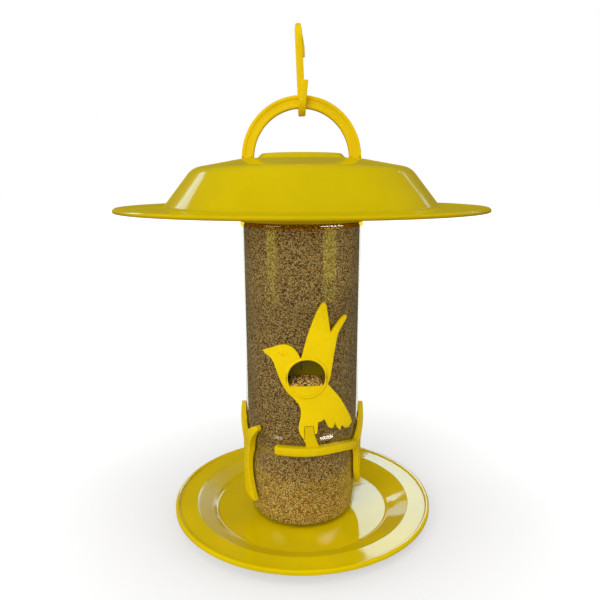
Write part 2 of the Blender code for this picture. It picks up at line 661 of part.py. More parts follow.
def hook_path():
    """The hook's centre line as (sideways lean, depth, height), from its upper tip to its lower."""
    shank = HOOK_LOWER_RADIUS
    lower = hook_pivot_height()
    bottom = lower - HOOK_LOWER_RADIUS
    top = bottom + HOOK_HEIGHT - HOOK_THICKNESS
    upper = top - HOOK_UPPER_RADIUS
    upper_tip, lower_tip = upper - HOOK_UPPER_LIMB, lower + HOOK_LOWER_LIMB
    line = [(shank + 2 * HOOK_UPPER_RADIUS, upper_tip)]
    angles = [math.pi * step / HOOK_ARC_STEPS for step in range(HOOK_ARC_STEPS + 1)]
    line += [
        (shank + HOOK_UPPER_RADIUS * (1 + math.cos(angle)), upper + HOOK_UPPER_RADIUS * math.sin(angle))
        for angle in angles
    ]
    line += [
        (HOOK_LOWER_RADIUS * math.cos(angle), lower - HOOK_LOWER_RADIUS * math.sin(angle))
        for angle in angles
    ]
    line.append((-HOOK_LOWER_RADIUS, lower_tip))
    path = []
    for depth, height in line:
        lean = 0
        if depth < 0:
            lean = HOOK_LEAN * (height - bottom) / (lower_tip - bottom)
        if depth > shank + HOOK_UPPER_RADIUS:
            lean = HOOK_LEAN * (top - height) / (top - upper_tip)
        path.append(Vector((lean, depth, height)))
    return path


def make_hook(finish):
    """The hanging hook: a flat bar with softened edges, its tips set a little to one side."""
    path = hook_path()
    wide, thick = HOOK_WIDTH / 2, HOOK_THICKNESS / 2
    corners = [
        (wide, thick - HOOK_EDGE), (wide - HOOK_EDGE, thick),
        (HOOK_EDGE - wide, thick), (-wide, thick - HOOK_EDGE),
        (-wide, HOOK_EDGE - thick), (HOOK_EDGE - wide, -thick),
        (wide - HOOK_EDGE, -thick), (wide, HOOK_EDGE - thick),
    ]
    pivot = Vector((0, 0, hook_pivot_height()))
    sections = []
    for index, here in enumerate(path):
        before, after = path[max(index - 1, 0)], path[min(index + 1, len(path) - 1)]
        along = (after - before)
        along.x = 0
        along.normalize()
        sections.append([
            here + Vector((across, -along.z * out, along.y * out)) - pivot
            for across, out in corners
        ])
    hook = lofted("hanging_hook", sections, finish)
    hook.data.transform(Matrix.Rotation(HOOK_TILT, 4, "Y"))
    hook.location = pivot
    return hook


def slot_side(left, height):
    """How far along the jar a side of the leg's leaning slot is at a height below the port."""
    return left + SLOT_LEAN_SHARE * (-SLOT_TOP_DROP - height)


def bird_outline():
    """The bird's outline, with the slot in its leg, as (arc length, height) points."""
    leg_end = BIRD_TAIL_SHARES[-1][1] * BIRD_HEIGHT
    foot_end = BIRD_LEG_SHARES[0][1] * BIRD_HEIGHT
    slot_right = SLOT_LEFT + SLOT_WIDTH
    slot = [
        (slot_side(slot_right, leg_end), leg_end), (slot_right, -SLOT_TOP_DROP),
        (SLOT_LEFT, -SLOT_TOP_DROP), (slot_side(SLOT_LEFT, foot_end), foot_end),
    ]
    before = BIRD_HEAD_SHARES + BIRD_WING_SHARES + BIRD_TAIL_SHARES
    after = BIRD_LEG_SHARES + BIRD_BELLY_SHARES
    points = [(x * BIRD_HEIGHT, z * BIRD_HEIGHT) for x, z in before]
    points += slot
    points += [(x * BIRD_HEIGHT, z * BIRD_HEIGHT) for x, z in after]
    return [(along, PORT_HEIGHT + height) for along, height in led_round_port(points)]


def led_round_port(points):
    """A closed outline about the port's centre, led round the collar that holds the port."""
    collar = PORT_HOLE_RADIUS + BIRD_COLLAR_WIDTH
    led = []
    for start, end in zip(points, points[1:] + points[:1]):
        start, end = Vector(start), Vector(end)
        run = end - start
        share = min(max(-start.dot(run) / run.length_squared, 0), 1)
        inside = (start + run * share).length < collar
        steps = math.ceil(2 * run.length / WRAP_CELL) if inside else 1
        for step in range(steps):
            here = start + run * step / steps
            led.append(tuple(here * max(1, collar / here.length)))
    return led


def make_bird(name, half_turn, finish):
    """A bird plate that lies on the jar round its port."""
    bird = wrapped_plate(name, bird_outline(), BIRD_INNER_RADIUS, BIRD_OUTER_RADIUS, finish)
    eye_height = PORT_HEIGHT + BIRD_EYE_SHARES[1] * BIRD_HEIGHT
    eye_angle = BIRD_EYE_SHARES[0] * BIRD_HEIGHT / BIRD_OUTER_RADIUS
    front = -BIRD_OUTER_RADIUS - BIRD_EYE_HEIGHT
    middle = -BIRD_OUTER_RADIUS + BIRD_THICKNESS / 2
    eye = barrel("eye", BIRD_EYE_RADIUS, front, middle, eye_height, EYE_STEPS)
    join(bird, turn_about_z(eye, eye_angle))
    far = -BIRD_INNER_RADIUS + BIRD_INNER_RADIUS / 4
    cut(bird, barrel("hole", PORT_HOLE_RADIUS, -RIM_OUTER_RADIUS, far, PORT_HEIGHT, SMALL_STEPS))
    return turn_about_z(bird, PORT_AZIMUTH + half_turn)


def make_port(name, half_turn, finish):
    """A feeding port: a rim on the bird, a sleeve through the jar, a hood inside and a sill."""
    rim_radius = SLEEVE_RADIUS + PORT_RIM_WIDTH
    angles = [FULL_TURN * step / SMALL_STEPS for step in range(SMALL_STEPS)]
    circle = [(rim_radius * math.cos(a), PORT_HEIGHT + rim_radius * math.sin(a)) for a in angles]
    port = wrapped_plate(name, circle, RIM_INNER_RADIUS, RIM_OUTER_RADIUS, finish)
    front = -RIM_OUTER_RADIUS - OVERRUN
    sleeve = port_body(front, 0)
    round_face = (RIM_INNER_RADIUS + RIM_OUTER_RADIUS) / 2
    keep_inside(sleeve, disc("face", round_face, 0, 2 * PORT_HEIGHT, JAR_STEPS))
    join(port, sleeve)
    hood_end = JAR_RADIUS - JAR_WALL - PORT_HOOD_LENGTH
    sleeve_end = JAR_RADIUS - JAR_WALL - PORT_INNER_LAP
    cut(port, barrel("bore", PORT_BORE_RADIUS, front, -hood_end - PORT_WALL, PORT_HEIGHT, SMALL_STEPS))
    sill_radius = PORT_BORE_RADIUS + PORT_WALL / 2
    sill = barrel("sill", sill_radius, front, -sleeve_end, PORT_HEIGHT, SMALL_STEPS)
    sill_back = BIRD_OUTER_RADIUS - PORT_SILL_THICKNESS
    keep_inside(sill, washer("wall", sill_back, BIRD_OUTER_RADIUS, 0, 2 * PORT_HEIGHT, JAR_STEPS))
    sill_top = PORT_HEIGHT - PORT_SILL_DROP
    above = block("above", (-JAR_RADIUS, front, sill_top), (JAR_RADIUS, 0, PORT_HEIGHT + JAR_RADIUS))
    join(port, cut(sill, above))
    return turn_about_z(port, PORT_AZIMUTH + half_turn)


def perch_sections():
    """The perch's sections from its tip to the trunk: level at first, then falling and thinner."""
    inner = JAR_WAIST_RADIUS + CLEARANCE / 2
    sections = []
    for step in range(PERCH_STEPS + 1):
        angle = PERCH_TIP_ANGLE + (PERCH_ROOT_ANGLE - PERCH_TIP_ANGLE) * step / PERCH_STEPS
        run = (angle - PERCH_FALL_ANGLE) / (PERCH_ROOT_ANGLE - PERCH_FALL_ANGLE)
        share = max(run, 0) ** PERCH_FALL_POWER_SHARE
        outer = PERCH_REACH + (BRANCH_OUTER_RADIUS - PERCH_REACH) * share
        low = PERCH_LEVEL - PERCH_FALL * share
        sections.append([
            (radius * math.sin(angle), -radius * math.cos(angle), height)
            for radius, height in (
                (inner, low), (outer, low), (outer, low + PERCH_HEIGHT), (inner, low + PERCH_HEIGHT),
            )
        ])
    return sections


def tongue_sections():
    """The two ends of the tongue that stands on the perch and fills the slot in the bird's leg."""
    turn = PORT_AZIMUTH * BIRD_OUTER_RADIUS
    left, right = SLOT_LEFT + CLEARANCE, SLOT_LEFT + SLOT_WIDTH - CLEARANCE
    inner, outer = JAR_WAIST_RADIUS, BIRD_OUTER_RADIUS
    sections = []
    for height in (PERCH_LEVEL + PERCH_HEIGHT / 2 - PORT_HEIGHT, -SLOT_TOP_DROP - CLEARANCE):
        sections.append([
            on_jar(turn + slot_side(side, height), PORT_HEIGHT + height, radius, outer)
            for side, radius in ((left, inner), (right, inner), (right, outer), (left, outer))
        ])
    return sections


def limb_bow(height):
    """How far the upright limb stands off the jar at a height."""
    start = TREE_FOOT_LEVEL + TREE_HEIGHT * LIMB_BOW_START_SHARE
    share = (height - start) / (TREE_FOOT_LEVEL + TREE_HEIGHT - start)
    return LIMB_BOW * math.sin(LIMB_BOW_TURN * share) if share > 0 else 0


def make_branch(name, half_turn, finish):
    """A tree that hugs the jar: trunk, twig, limb, perch and the tongue in the bird's leg."""
    middle = TRUNK_ANGLE * BRANCH_OUTER_RADIUS
    outline = [(middle + x * TREE_HEIGHT, TREE_FOOT_LEVEL + z * TREE_HEIGHT) for x, z in TREE_SHARES]
    branch = wrapped_plate(name, outline, JAR_WAIST_RADIUS, BRANCH_OUTER_RADIUS, finish, bow=limb_bow)
    perch = lofted("perch", perch_sections())
    join(perch, lofted("tongue", tongue_sections()))
    join(branch, perch)
    line = jar_line(CLEARANCE, True)
    envelope = [(0, line[2][1]), *line[2:-2], (0, line[-3][1])]
    cut(branch, turned("envelope", envelope, JAR_STEPS, closed=False))
    return turn_about_z(branch, half_turn)


def make_bolt(finish):
    """The bolt, its head inside the jar and its end in the nut."""
    head_base = JAR_HUB_FLOOR + WASHER_THICKNESS + 2 * CLEARANCE
    head_top = head_base + BOLT_HEAD_HEIGHT
    outline = [
        (0, BOLT_END_GAP), (BOLT_RADIUS, BOLT_END_GAP), (BOLT_RADIUS, head_base),
        (BOLT_HEAD_RADIUS, head_base), (BOLT_HEAD_RADIUS, head_top), (0, head_top),
    ]
    return turned("tray_bolt", outline, SMALL_STEPS, finish, closed=False)


def make_washer(finish):
    """The soft washer under the bolt's head, which seals the jar."""
    low = JAR_HUB_FLOOR + CLEARANCE
    high = low + WASHER_THICKNESS
    return washer("seal_washer", BOLT_RADIUS + CLEARANCE, WASHER_RADIUS, low, high, SMALL_STEPS, finish)


def make_nut(finish):
    """The six-sided nut in the hollow under the tray's hub."""
    high = TRAY_HUB_RISE - CLEARANCE
    low = high - NUT_HEIGHT
    nut = disc("tray_nut", NUT_RADIUS, low, high, NUT_SIDES, finish)
    hole = disc("hole", BOLT_RADIUS + CLEARANCE, low - OVERRUN, high + OVERRUN, SMALL_STEPS)
    return cut(nut, hole)


def main():
    """Build every piece."""
    clear_scene()
    yellow = material("yellow_plastic", YELLOW, GLOSSY_SHARE)
    bright = material("bright_yellow_plastic", BRIGHT_YELLOW, SATIN_SHARE)
    clear = material("clear_plastic", CLEAR, POLISHED_SHARE)
    clear.node_tree.nodes["Principled BSDF"].inputs["Transmission Weight"].default_value = 1
    millet = material("millet", MILLET, GRAINY_SHARE)
    soft = material("soft_seal", SOFT_WHITE, SOFT_SHARE)
    make_tray(yellow)
    make_jar(clear)
    make_seed_fill(millet)
    make_cap(yellow)
    make_liner(soft)
    make_roof(yellow)
    make_handle(bright)
    make_hook(bright)
    for place, half_turn in (("front", 0), ("rear", math.pi)):
        make_bird("bird_" + place, half_turn, bright)
        make_port("feed_port_" + place, half_turn, bright)
        make_branch("branch_" + place, half_turn, bright)
    make_bolt(bright)
    make_washer(soft)
    make_nut(bright)


main()
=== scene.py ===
"""The looks of a hanging tube bird feeder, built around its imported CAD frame. Lengths are in metres,
+Z is up, the front is at -Y, and the origin is at the centre of the tray's underside."""

import math

import bmesh
import bpy
import numpy as np
from mathutils import Matrix, Vector


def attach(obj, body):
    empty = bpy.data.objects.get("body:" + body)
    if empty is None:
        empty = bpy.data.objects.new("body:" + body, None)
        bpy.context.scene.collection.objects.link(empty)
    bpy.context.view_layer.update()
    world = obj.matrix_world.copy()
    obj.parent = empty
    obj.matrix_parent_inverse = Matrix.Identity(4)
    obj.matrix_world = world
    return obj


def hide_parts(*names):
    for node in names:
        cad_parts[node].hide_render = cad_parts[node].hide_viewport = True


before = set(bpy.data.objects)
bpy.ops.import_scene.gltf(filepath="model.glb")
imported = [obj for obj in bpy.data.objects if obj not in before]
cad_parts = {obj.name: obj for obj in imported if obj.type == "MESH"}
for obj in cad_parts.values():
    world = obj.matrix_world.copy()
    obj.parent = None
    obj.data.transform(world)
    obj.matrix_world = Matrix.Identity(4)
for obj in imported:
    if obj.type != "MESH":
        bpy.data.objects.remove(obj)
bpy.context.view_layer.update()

TURN = 2 * math.pi
SHARP_ANGLE = 32
GAP = 0.0003
SIDES = (("front", 0), ("rear", math.pi))

# Colours, in linear light
ROOF_YELLOW = (0.55, 0.415, 0.0, 1)
# Painted light: the tray is the roof's yellow plastic, made lighter against the shade under the roof
TRAY_PAINTED_LIGHT_YELLOW = (0.75, 0.545, 0.0, 1)
BRIGHT = (0.92, 0.65, 0.0, 1)
RING_YELLOW = (0.77, 0.52, 0.0, 1)
BRANCH_YELLOW = (0.76, 0.54, 0.0, 1)
# Painted shade: a darker copy of the yellow plastic for the inside of the ports
PAINTED_SHADE_YELLOW = (0.22, 0.165, 0.0, 1)
# Painted shade, in brown, on the lower side of the roof brim's outer edge
RIM_PAINTED_SHADE = (0.42, 0.20, 0.0, 1)
# Painted light and shade: an amber tint at the jar's bead for the roof's yellow light and shadow
PAINTED_ROOF_TINT = (1.0, 0.87, 0.18, 1)
CLEAR_FACE, CLEAR_EDGE = (0.975, 0.980, 0.965, 1), (0.945, 0.962, 0.915, 1)
# The gap colour is painted shade between the packed grains
MILLET_PATCH, MILLET_GAP_SHADE = (0.5, 0.26, 0.06, 1), (0.12, 0.05, 0.012, 1)
SEAL_PALE, SEAL_DUSTY = (0.72, 0.72, 0.68, 1), (0.60, 0.58, 0.52, 1)
WARM_SHINE = (1, 0.92, 0.5, 1)
FLOOR_GREY, FLOOR_IN_GLOSS = (0.42, 0.42, 0.42, 1), (0.10, 0.10, 0.10, 1)
WHITE, BLACK = (1, 1, 1, 1), (0, 0, 0, 1)
PLAIN_LIGHT, YELLOW_LIGHT, SKY_LIGHT = (1, 1, 1), (1, 0.94, 0.08), (0.45, 0.68, 1)

# Each tint of the millet begins at its share of the grains
MILLET_TINTS = (
    (0.0, (0.74, 0.35, 0.05, 1)), (0.20, (1.0, 0.68, 0.17, 1)), (0.42, (0.32, 0.11, 0.016, 1)),
    (0.58, (1.0, 0.84, 0.34, 1)), (0.76, (0.12, 0.04, 0.006, 1)), (0.90, (0.02, 0.01, 0.003, 1)),
)

# Jar and what stands on it
BOLT_HOLE = 0.0033
JAR_R = 0.043
WALL = 0.0012
JAR_FRONT = -JAR_R - 0.003
PORT_Z = 0.123
PORT_TURN = math.radians(4)
BORE = 0.0134
SLEEVE = BORE + 0.0009
PORT_HOLE = BORE + 0.0012
SLEEVE_END, HOOD_END = JAR_R - WALL - 0.0034, JAR_R - WALL - 0.0155
BIRD_IN, BIRD_OUT = 0.0433, 0.0455
BIRD_H = 0.095

# Where a material changes: painted shade on the brim by height and radius, and two bands by height
BRIM_LIP = 0.2348
BRIM_EDGE = (0.1280, 0.1286)
# The neck band holds the painted amber tint of the roof's light and shade
NECK_BAND = (0.2226, 0.2240, 0.2264, 0.2270)
TRAY_WALL = (0.0032, 0.0046, 0.0088, 0.0096)


# Nodes and materials

def add(tree, kind, inputs=None, **props):
    """A shader node with its settings, and its inputs linked or filled by name or number."""
    node = tree.nodes.new("ShaderNode" + kind)
    for key, value in props.items():
        setattr(node, key, value)
    for key, value in (inputs or {}).items():
        socket = node.inputs[key]
        if isinstance(value, bpy.types.NodeSocket):
            tree.links.new(value, socket)
        else:
            socket.default_value = value
    return node


def new_material(name):
    """A material with an empty node tree, its tree, and the place on the piece."""
    made = bpy.data.materials.new(name)
    made.use_nodes = True
    made.node_tree.nodes.clear()
    return made, made.node_tree, add(made.node_tree, "TexCoord").outputs["Object"]


def ranged(tree, value, low, high, to_low, to_high):
    """A value moved from one range to another, clamped."""
    node = add(tree, "MapRange", {0: value, 1: low, 2: high, 3: to_low, 4: to_high})
    return node.outputs[0]


def blended(tree, share, first, second):
    """Two colours mixed by a share."""
    return add(tree, "Mix", {0: share, 6: first, 7: second}, data_type="RGBA").outputs[2]


def maths(tree, operation, first, second):
    """A Math node's result for two values."""
    return add(tree, "Math", {0: first, 1: second}, operation=operation).outputs[0]


def times(tree, first, second):
    """Two values multiplied."""
    return maths(tree, "MULTIPLY", first, second)


def vectors(tree, operation, first, second=(0, 0, 0)):
    """A VectorMath node's outputs for one or two vectors."""
    return add(tree, "VectorMath", {0: first, 1: second}, operation=operation).outputs


def within(tree, value, start, full, fading, end):
    """One inside a band of values and zero outside it, with soft sides."""
    return times(tree, ranged(tree, value, start, full, 0, 1), ranged(tree, value, fading, end, 1, 0))


def noise(tree, place, scale, detail=2, **more):
    """Cloudy noise."""
    return add(tree, "TexNoise", {"Vector": place, "Scale": scale, "Detail": detail, **more}).outputs[0]


def axes(tree, place):
    """A place's X, Y and Z."""
    return add(tree, "SeparateXYZ", {"Vector": place}).outputs


def across_axis(tree, place):
    """A place without its height, and its distance from the Z axis."""
    flat = vectors(tree, "MULTIPLY", place, (1, 1, 0))[0]
    return flat, vectors(tree, "LENGTH", flat)["Value"]


def facing(tree):
    """How far a surface turns away from the eye."""
    return add(tree, "LayerWeight", {"Blend": 0.5}).outputs["Facing"]


def bumped(tree, height):
    """A surface normal that follows a relief in metres."""
    return add(tree, "Bump", {"Height": height, "Distance": 1}).outputs[0]


def mixed(tree, share, first, second):
    """Two shaders mixed by a share."""
    return add(tree, "MixShader", {0: share, 1: first.outputs[0], 2: second.outputs[0]})


def output(tree, shader, kind="OutputMaterial"):
    """The end of a node tree."""
    add(tree, kind, {"Surface": shader.outputs[0]})


def shade(colour, by):
    """A colour made lighter or darker."""
    return tuple(min(1, part * by) for part in colour[:3]) + (1,)


def flow_lines(tree, place):
    """Noise drawn out from the Z axis, as plastic flows from a gate in the middle."""
    streaks, changes = 11, 26
    flat, far = across_axis(tree, place)
    around = vectors(tree, "MULTIPLY", vectors(tree, "NORMALIZE", flat)[0], (streaks, streaks, 0))[0]
    out = add(tree, "CombineXYZ", {2: times(tree, far, changes)}).outputs[0]
    return noise(tree, vectors(tree, "ADD", around, out)[0], 1, 4, Roughness=0.55)


def rim_shade_share(tree, place, lip):
    """How much painted shade the brim gets: only its outer edge, below the height of the lip."""
    most, fade = 0.85, 0.001
    outside = ranged(tree, across_axis(tree, place)[1], *BRIM_EDGE, 0, 1)
    return times(tree, outside, ranged(tree, axes(tree, place)["Z"], lip, lip + fade, most, 0))


def worn_share(tree, place, worn):
    """How much duller the tray is: only its sloped wall, fading out towards the middle from the left."""
    left = -0.04
    across, _, high = axes(tree, place)
    return times(tree, within(tree, high, *TRAY_WALL), ranged(tree, across, left, 0, worn, 0))


def plastic(name, colour, rough, wave, lines=0.0, spec=0.45, lip=0.0, worn=0.0):
    """Moulded plastic: uneven tone, ripples, grain, scuffs and specks, with a dull sheen at low angles.
    A lip's height paints shade on the brim's edge below it, and worn dulls the left of the tray's wall."""
    made, tree, place = new_material(name)
    tone = noise(tree, place, 22, 3)
    grain = noise(tree, place, 1400)
    flow = noise(tree, place, 38, 2.5, Distortion=0.6)
    scuff = noise(tree, place, 260, 5, Roughness=0.65)
    speck = add(tree, "TexVoronoi", {"Vector": place, "Scale": 210}).outputs["Distance"]
    base = blended(tree, ranged(tree, tone, 0.35, 0.65, 0, 1), shade(colour, 0.94), shade(colour, 1.05))
    base = blended(tree, ranged(tree, scuff, 0.62, 0.75, 0, 0.05), base, shade(colour, 1.2))
    base = blended(tree, ranged(tree, speck, 0.04, 0.07, 0.14, 0), base, shade(colour, 0.7))
    # Painted shade on the brim's outer edge, below the lip
    if lip:
        base = blended(tree, rim_shade_share(tree, place, lip), base, RIM_PAINTED_SHADE)
    level = ranged(tree, scuff, 0.4, 0.75, rough * 0.85, rough * 1.6)
    if worn:
        level = maths(tree, "ADD", level, worn_share(tree, place, worn))
    grain_height = 0.000002
    height = maths(tree, "ADD", times(tree, flow, wave), times(tree, grain, grain_height))
    if lines:
        height = maths(tree, "ADD", height, times(tree, flow_lines(tree, place), lines))
    normal = bumped(tree, height)
    glossy = add(tree, "BsdfPrincipled", {
        "Base Color": base, "Roughness": level, "Normal": normal, "Specular IOR Level": spec,
        "Specular Tint": WARM_SHINE,
    })
    matte = add(tree, "BsdfDiffuse", {"Color": base, "Normal": normal})
    output(tree, mixed(tree, ranged(tree, facing(tree), 0.78, 0.96, 0, 0.8), glossy, matte))
    return made


def clear_plastic(name):
    """Thin clear plastic with faint upright flow streaks and an amber band round its neck, which is painted
    light and shade from the roof on the seeds behind. Lamps shine through it. Back faces have the inverse
    index of refraction, so that both sides reflect alike."""
    made, tree, place = new_material(name)
    drawn = add(tree, "Mapping", {"Vector": place, "Scale": (1, 1, 0.06)}).outputs[0]
    streak_height, most_shine, front_index, back_index = 0.00010, 0.13, 1.46, 0.685
    normal = bumped(tree, times(tree, noise(tree, drawn, 120), streak_height))
    glaze = add(tree, "BsdfPrincipled", {
        "Base Color": WHITE, "Metallic": 1, "Roughness": 0.04, "Normal": normal,
    })
    # Painted light and shade from the roof: an amber tint in the band round the neck
    band = within(tree, axes(tree, place)["Z"], *NECK_BAND)
    clear = blended(tree, ranged(tree, facing(tree), 0.7, 0.97, 0, 1), CLEAR_FACE, CLEAR_EDGE)
    through = add(tree, "BsdfTransparent", {"Color": blended(tree, band, clear, PAINTED_ROOF_TINT)})
    behind = add(tree, "NewGeometry").outputs["Backfacing"]
    index = ranged(tree, behind, 0, 1, front_index, back_index)
    edge = add(tree, "Fresnel", {"IOR": index, "Normal": normal}).outputs[0]
    output(tree, mixed(tree, maths(tree, "MINIMUM", edge, most_shine), through, glaze))
    return made


def seed_material(name, per_grain=False):
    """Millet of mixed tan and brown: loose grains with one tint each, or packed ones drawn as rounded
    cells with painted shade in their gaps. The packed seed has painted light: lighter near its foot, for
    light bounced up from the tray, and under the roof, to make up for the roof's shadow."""
    made, tree, place = new_material(name)
    if per_grain:
        pick = add(tree, "NewGeometry").outputs["Random Per Island"]
    else:
        cells = add(tree, "TexVoronoi", {"Vector": place, "Scale": 1600}).outputs
        pick = add(tree, "SeparateColor", {0: cells["Color"]}).outputs[0]
    ramp = add(tree, "ValToRGB", {0: pick})
    stops = ramp.color_ramp
    stops.interpolation = "CONSTANT"
    for index, (start, tint) in enumerate(MILLET_TINTS):
        stop = stops.elements[index] if index < 2 else stops.elements.new(start)
        stop.position, stop.color = start, tint
    patch = ranged(tree, noise(tree, place, 34), 0.35, 0.68, 0, 0.2)
    base = blended(tree, patch, ramp.outputs[0], MILLET_PATCH)
    options = {"Roughness": 0.55, "Specular IOR Level": 0.2}
    if per_grain:
        options["Base Color"] = blended(tree, 0.85, BLACK, base)
    else:
        # Painted shade in the gaps between the packed grains
        base = blended(tree, ranged(tree, cells["Distance"], 0.45, 0.75, 0, 0.7), base, MILLET_GAP_SHADE)
        # Painted light: lighter at the foot for light off the tray, and under the roof against its shadow
        high = axes(tree, place)["Z"]
        foot = ranged(tree, high, 0.02, 0.07, 0.93, 0.57)
        top = ranged(tree, high, 0.165, 0.215, 0.56, 0.95)
        options["Base Color"] = blended(tree, maths(tree, "MAXIMUM", foot, top), BLACK, base)
        grain_height = -0.0005
        options["Normal"] = bumped(tree, times(tree, cells["Distance"], grain_height))
    output(tree, add(tree, "BsdfPrincipled", options))
    return made


def soft_material(name):
    """A soft pale seal, slightly dusty."""
    made, tree, place = new_material(name)
    dust = noise(tree, place, 500, 4)
    dust_height = 0.00004
    output(tree, add(tree, "BsdfPrincipled", {
        "Base Color": blended(tree, ranged(tree, dust, 0.4, 0.7, 0, 1), SEAL_PALE, SEAL_DUSTY),
        "Roughness": ranged(tree, dust, 0.3, 0.7, 0.5, 0.8),
        "Normal": bumped(tree, times(tree, dust, dust_height)),
    }))
    return made


RIPPLE, GLOSS_RIPPLE, DEEP_RIPPLE = 0.00008, 0.00016, 0.00024
ROOF = plastic("roof_yellow_plastic", ROOF_YELLOW, 0.08, DEEP_RIPPLE, lines=0.00018, lip=BRIM_LIP)
# Painted light: a lighter copy of the roof's plastic for the tray in the roof's shade
TRAY = plastic("tray_painted_light_plastic", TRAY_PAINTED_LIGHT_YELLOW, 0.055, GLOSS_RIPPLE, lines=0.00005, worn=0.3)
SATIN = plastic("bright_yellow_plastic", BRIGHT, 0.24, RIPPLE, spec=0.32)
RING = plastic("ring_yellow_plastic", RING_YELLOW, 0.20, RIPPLE, spec=0.32)
BARK = plastic("branch_yellow_plastic", BRANCH_YELLOW, 0.24, RIPPLE, spec=0.32)
# Painted shade for the inside of the ports
PORT_SHADE = plastic("painted_shade_yellow_plastic", PAINTED_SHADE_YELLOW, 0.35, RIPPLE)
CLEAR = clear_plastic("clear_jar_plastic")
SEED = seed_material("packed_millet")
GRAIN = seed_material("loose_millet", per_grain=True)
SEAL = soft_material("pale_seal")


# Places

def turns(count):
    """Equal turns round a circle, in radians."""
    return [TURN * step / count for step in range(count)]


def spot(radius, turn, height):
    """The place at a turn from +X about the Z axis."""
    return (radius * math.cos(turn), radius * math.sin(turn), height)


def from_front(radius, angle, height):
    """The place at an angle from the front about the Z axis."""
    return (radius * math.sin(angle), -radius * math.cos(angle), height)


def on_jar(along, height, radius):
    """The place on the jar at an arc length from the front, measured on the bird plates."""
    return from_front(radius, along / BIRD_OUT, height)


# Flat outlines

def filleted(corners, closed=False, steps=5):
    """Points through corners (x, y, radius), each rounded by a circular arc."""
    points, count, most = [], len(corners), 0.49
    for index, (x, y, radius) in enumerate(corners):
        if radius == 0 or (not closed and index in (0, count - 1)):
            points.append((x, y))
            continue
        here = Vector((x, y))
        before = Vector(corners[index - 1][:2]) - here
        after = Vector(corners[(index + 1) % count][:2]) - here
        angle = before.angle(after)
        reach = min(radius / math.tan(angle / 2), before.length * most, after.length * most)
        radius = reach * math.tan(angle / 2)
        middle = (before.normalized() + after.normalized()).normalized()
        centre = here + middle * radius / math.sin(angle / 2)
        start = here + before.normalized() * reach - centre
        sweep = math.pi - angle
        side = 1 if before.x * after.y - before.y * after.x < 0 else -1
        for step in range(steps + 1):
            turned = Matrix.Rotation(side * sweep * step / steps, 2) @ start
            points.append(tuple(centre + turned))
    return points


def shrunk(outline, distance):
    """A closed counterclockwise outline moved inward. At a spike it moves off one side alone."""
    moved, count = [], len(outline)
    spike, least = 0.2, 0.45
    for index in range(count):
        here = Vector(outline[index])
        first = (here - Vector(outline[index - 1])).normalized()
        second = (Vector(outline[(index + 1) % count]) - here).normalized()
        inward = Vector((-first.y, first.x))
        normal = inward + Vector((-second.y, second.x))
        if normal.length < spike:
            normal = inward.copy()
        normal.normalize()
        moved.append(tuple(here + normal * (distance / max(least, normal.dot(inward)))))
    return moved


def counterclockwise(outline):
    """The outline in counterclockwise order."""
    area = sum(a[0] * b[1] - b[0] * a[1] for a, b in zip(outline, outline[1:] + outline[:1]))
    return outline if area > 0 else outline[::-1]


def softened(outline):
    """The outline with its gentle corners cut twice, and its sharp ones only trimmed."""
    sharp, trim, cut = 62, 0.06, 0.25
    for _ in range(2):
        made, count = [], len(outline)
        for index in range(count):
            here = Vector(outline[index])
            before = Vector(outline[index - 1]) - here
            after = Vector(outline[(index + 1) % count]) - here
            share = trim if 180 - math.degrees(before.angle(after)) > sharp else cut
            made += [tuple(here + before * share), tuple(here + after * share)]
        outline = made
    return outline


# Meshes

def placed(name, data):
    """A new object in the scene for a mesh, a lamp or a camera."""
    obj = bpy.data.objects.new(name, data)
    bpy.context.scene.collection.objects.link(obj)
    return obj


def smoothed(mesh, angle=SHARP_ANGLE):
    """Smooth faces, with sharp edges above an angle in degrees."""
    mesh.shade_smooth()
    mesh.set_sharp_from_angle(angle=math.radians(angle))


def finished(name, maker, material=None, angle=SHARP_ANGLE):
    """An object from a bmesh, with its faces turned outward."""
    bmesh.ops.remove_doubles(maker, verts=maker.verts, dist=0.000001)
    bmesh.ops.recalc_face_normals(maker, faces=maker.faces)
    mesh = bpy.data.meshes.new(name)
    maker.to_mesh(mesh)
    maker.free()
    smoothed(mesh, angle)
    if material:
        mesh.materials.append(material)
    return placed(name, mesh)


def combine(target, tool, operation="DIFFERENCE"):
    """Apply a Boolean of one object on another, then remove the tool."""
    modifier = target.modifiers.new(operation, "BOOLEAN")
    modifier.operation = operation
    modifier.object = tool
    bpy.context.view_layer.update()
    shape = target.evaluated_get(bpy.context.evaluated_depsgraph_get())
    mesh = bpy.data.meshes.new_from_object(shape)
    own = target.data.materials[0] if target.data.materials else None
    target.modifiers.clear()
    target.data = mesh
    mesh.materials.clear()
    if own:
        mesh.materials.append(own)
    smoothed(mesh)
    bpy.data.objects.remove(tool, do_unlink=True)
    return target


def merged(target, *others):
    """One object from several, without a Boolean. Each part keeps its material."""
    maker = bmesh.new()
    maker.from_mesh(target.data)
    finishes = target.data.materials
    for other in others:
        own = other.data.materials[0] if other.data.materials else finishes[0]
        if own.name not in finishes:
            finishes.append(own)
        before = len(maker.faces)
        other.data.transform(other.matrix_world)
        maker.from_mesh(other.data)
        maker.faces.ensure_lookup_table()
        for face in maker.faces[before:]:
            face.material_index = finishes.find(own.name)
        bpy.data.objects.remove(other, do_unlink=True)
    maker.to_mesh(target.data)
    maker.free()


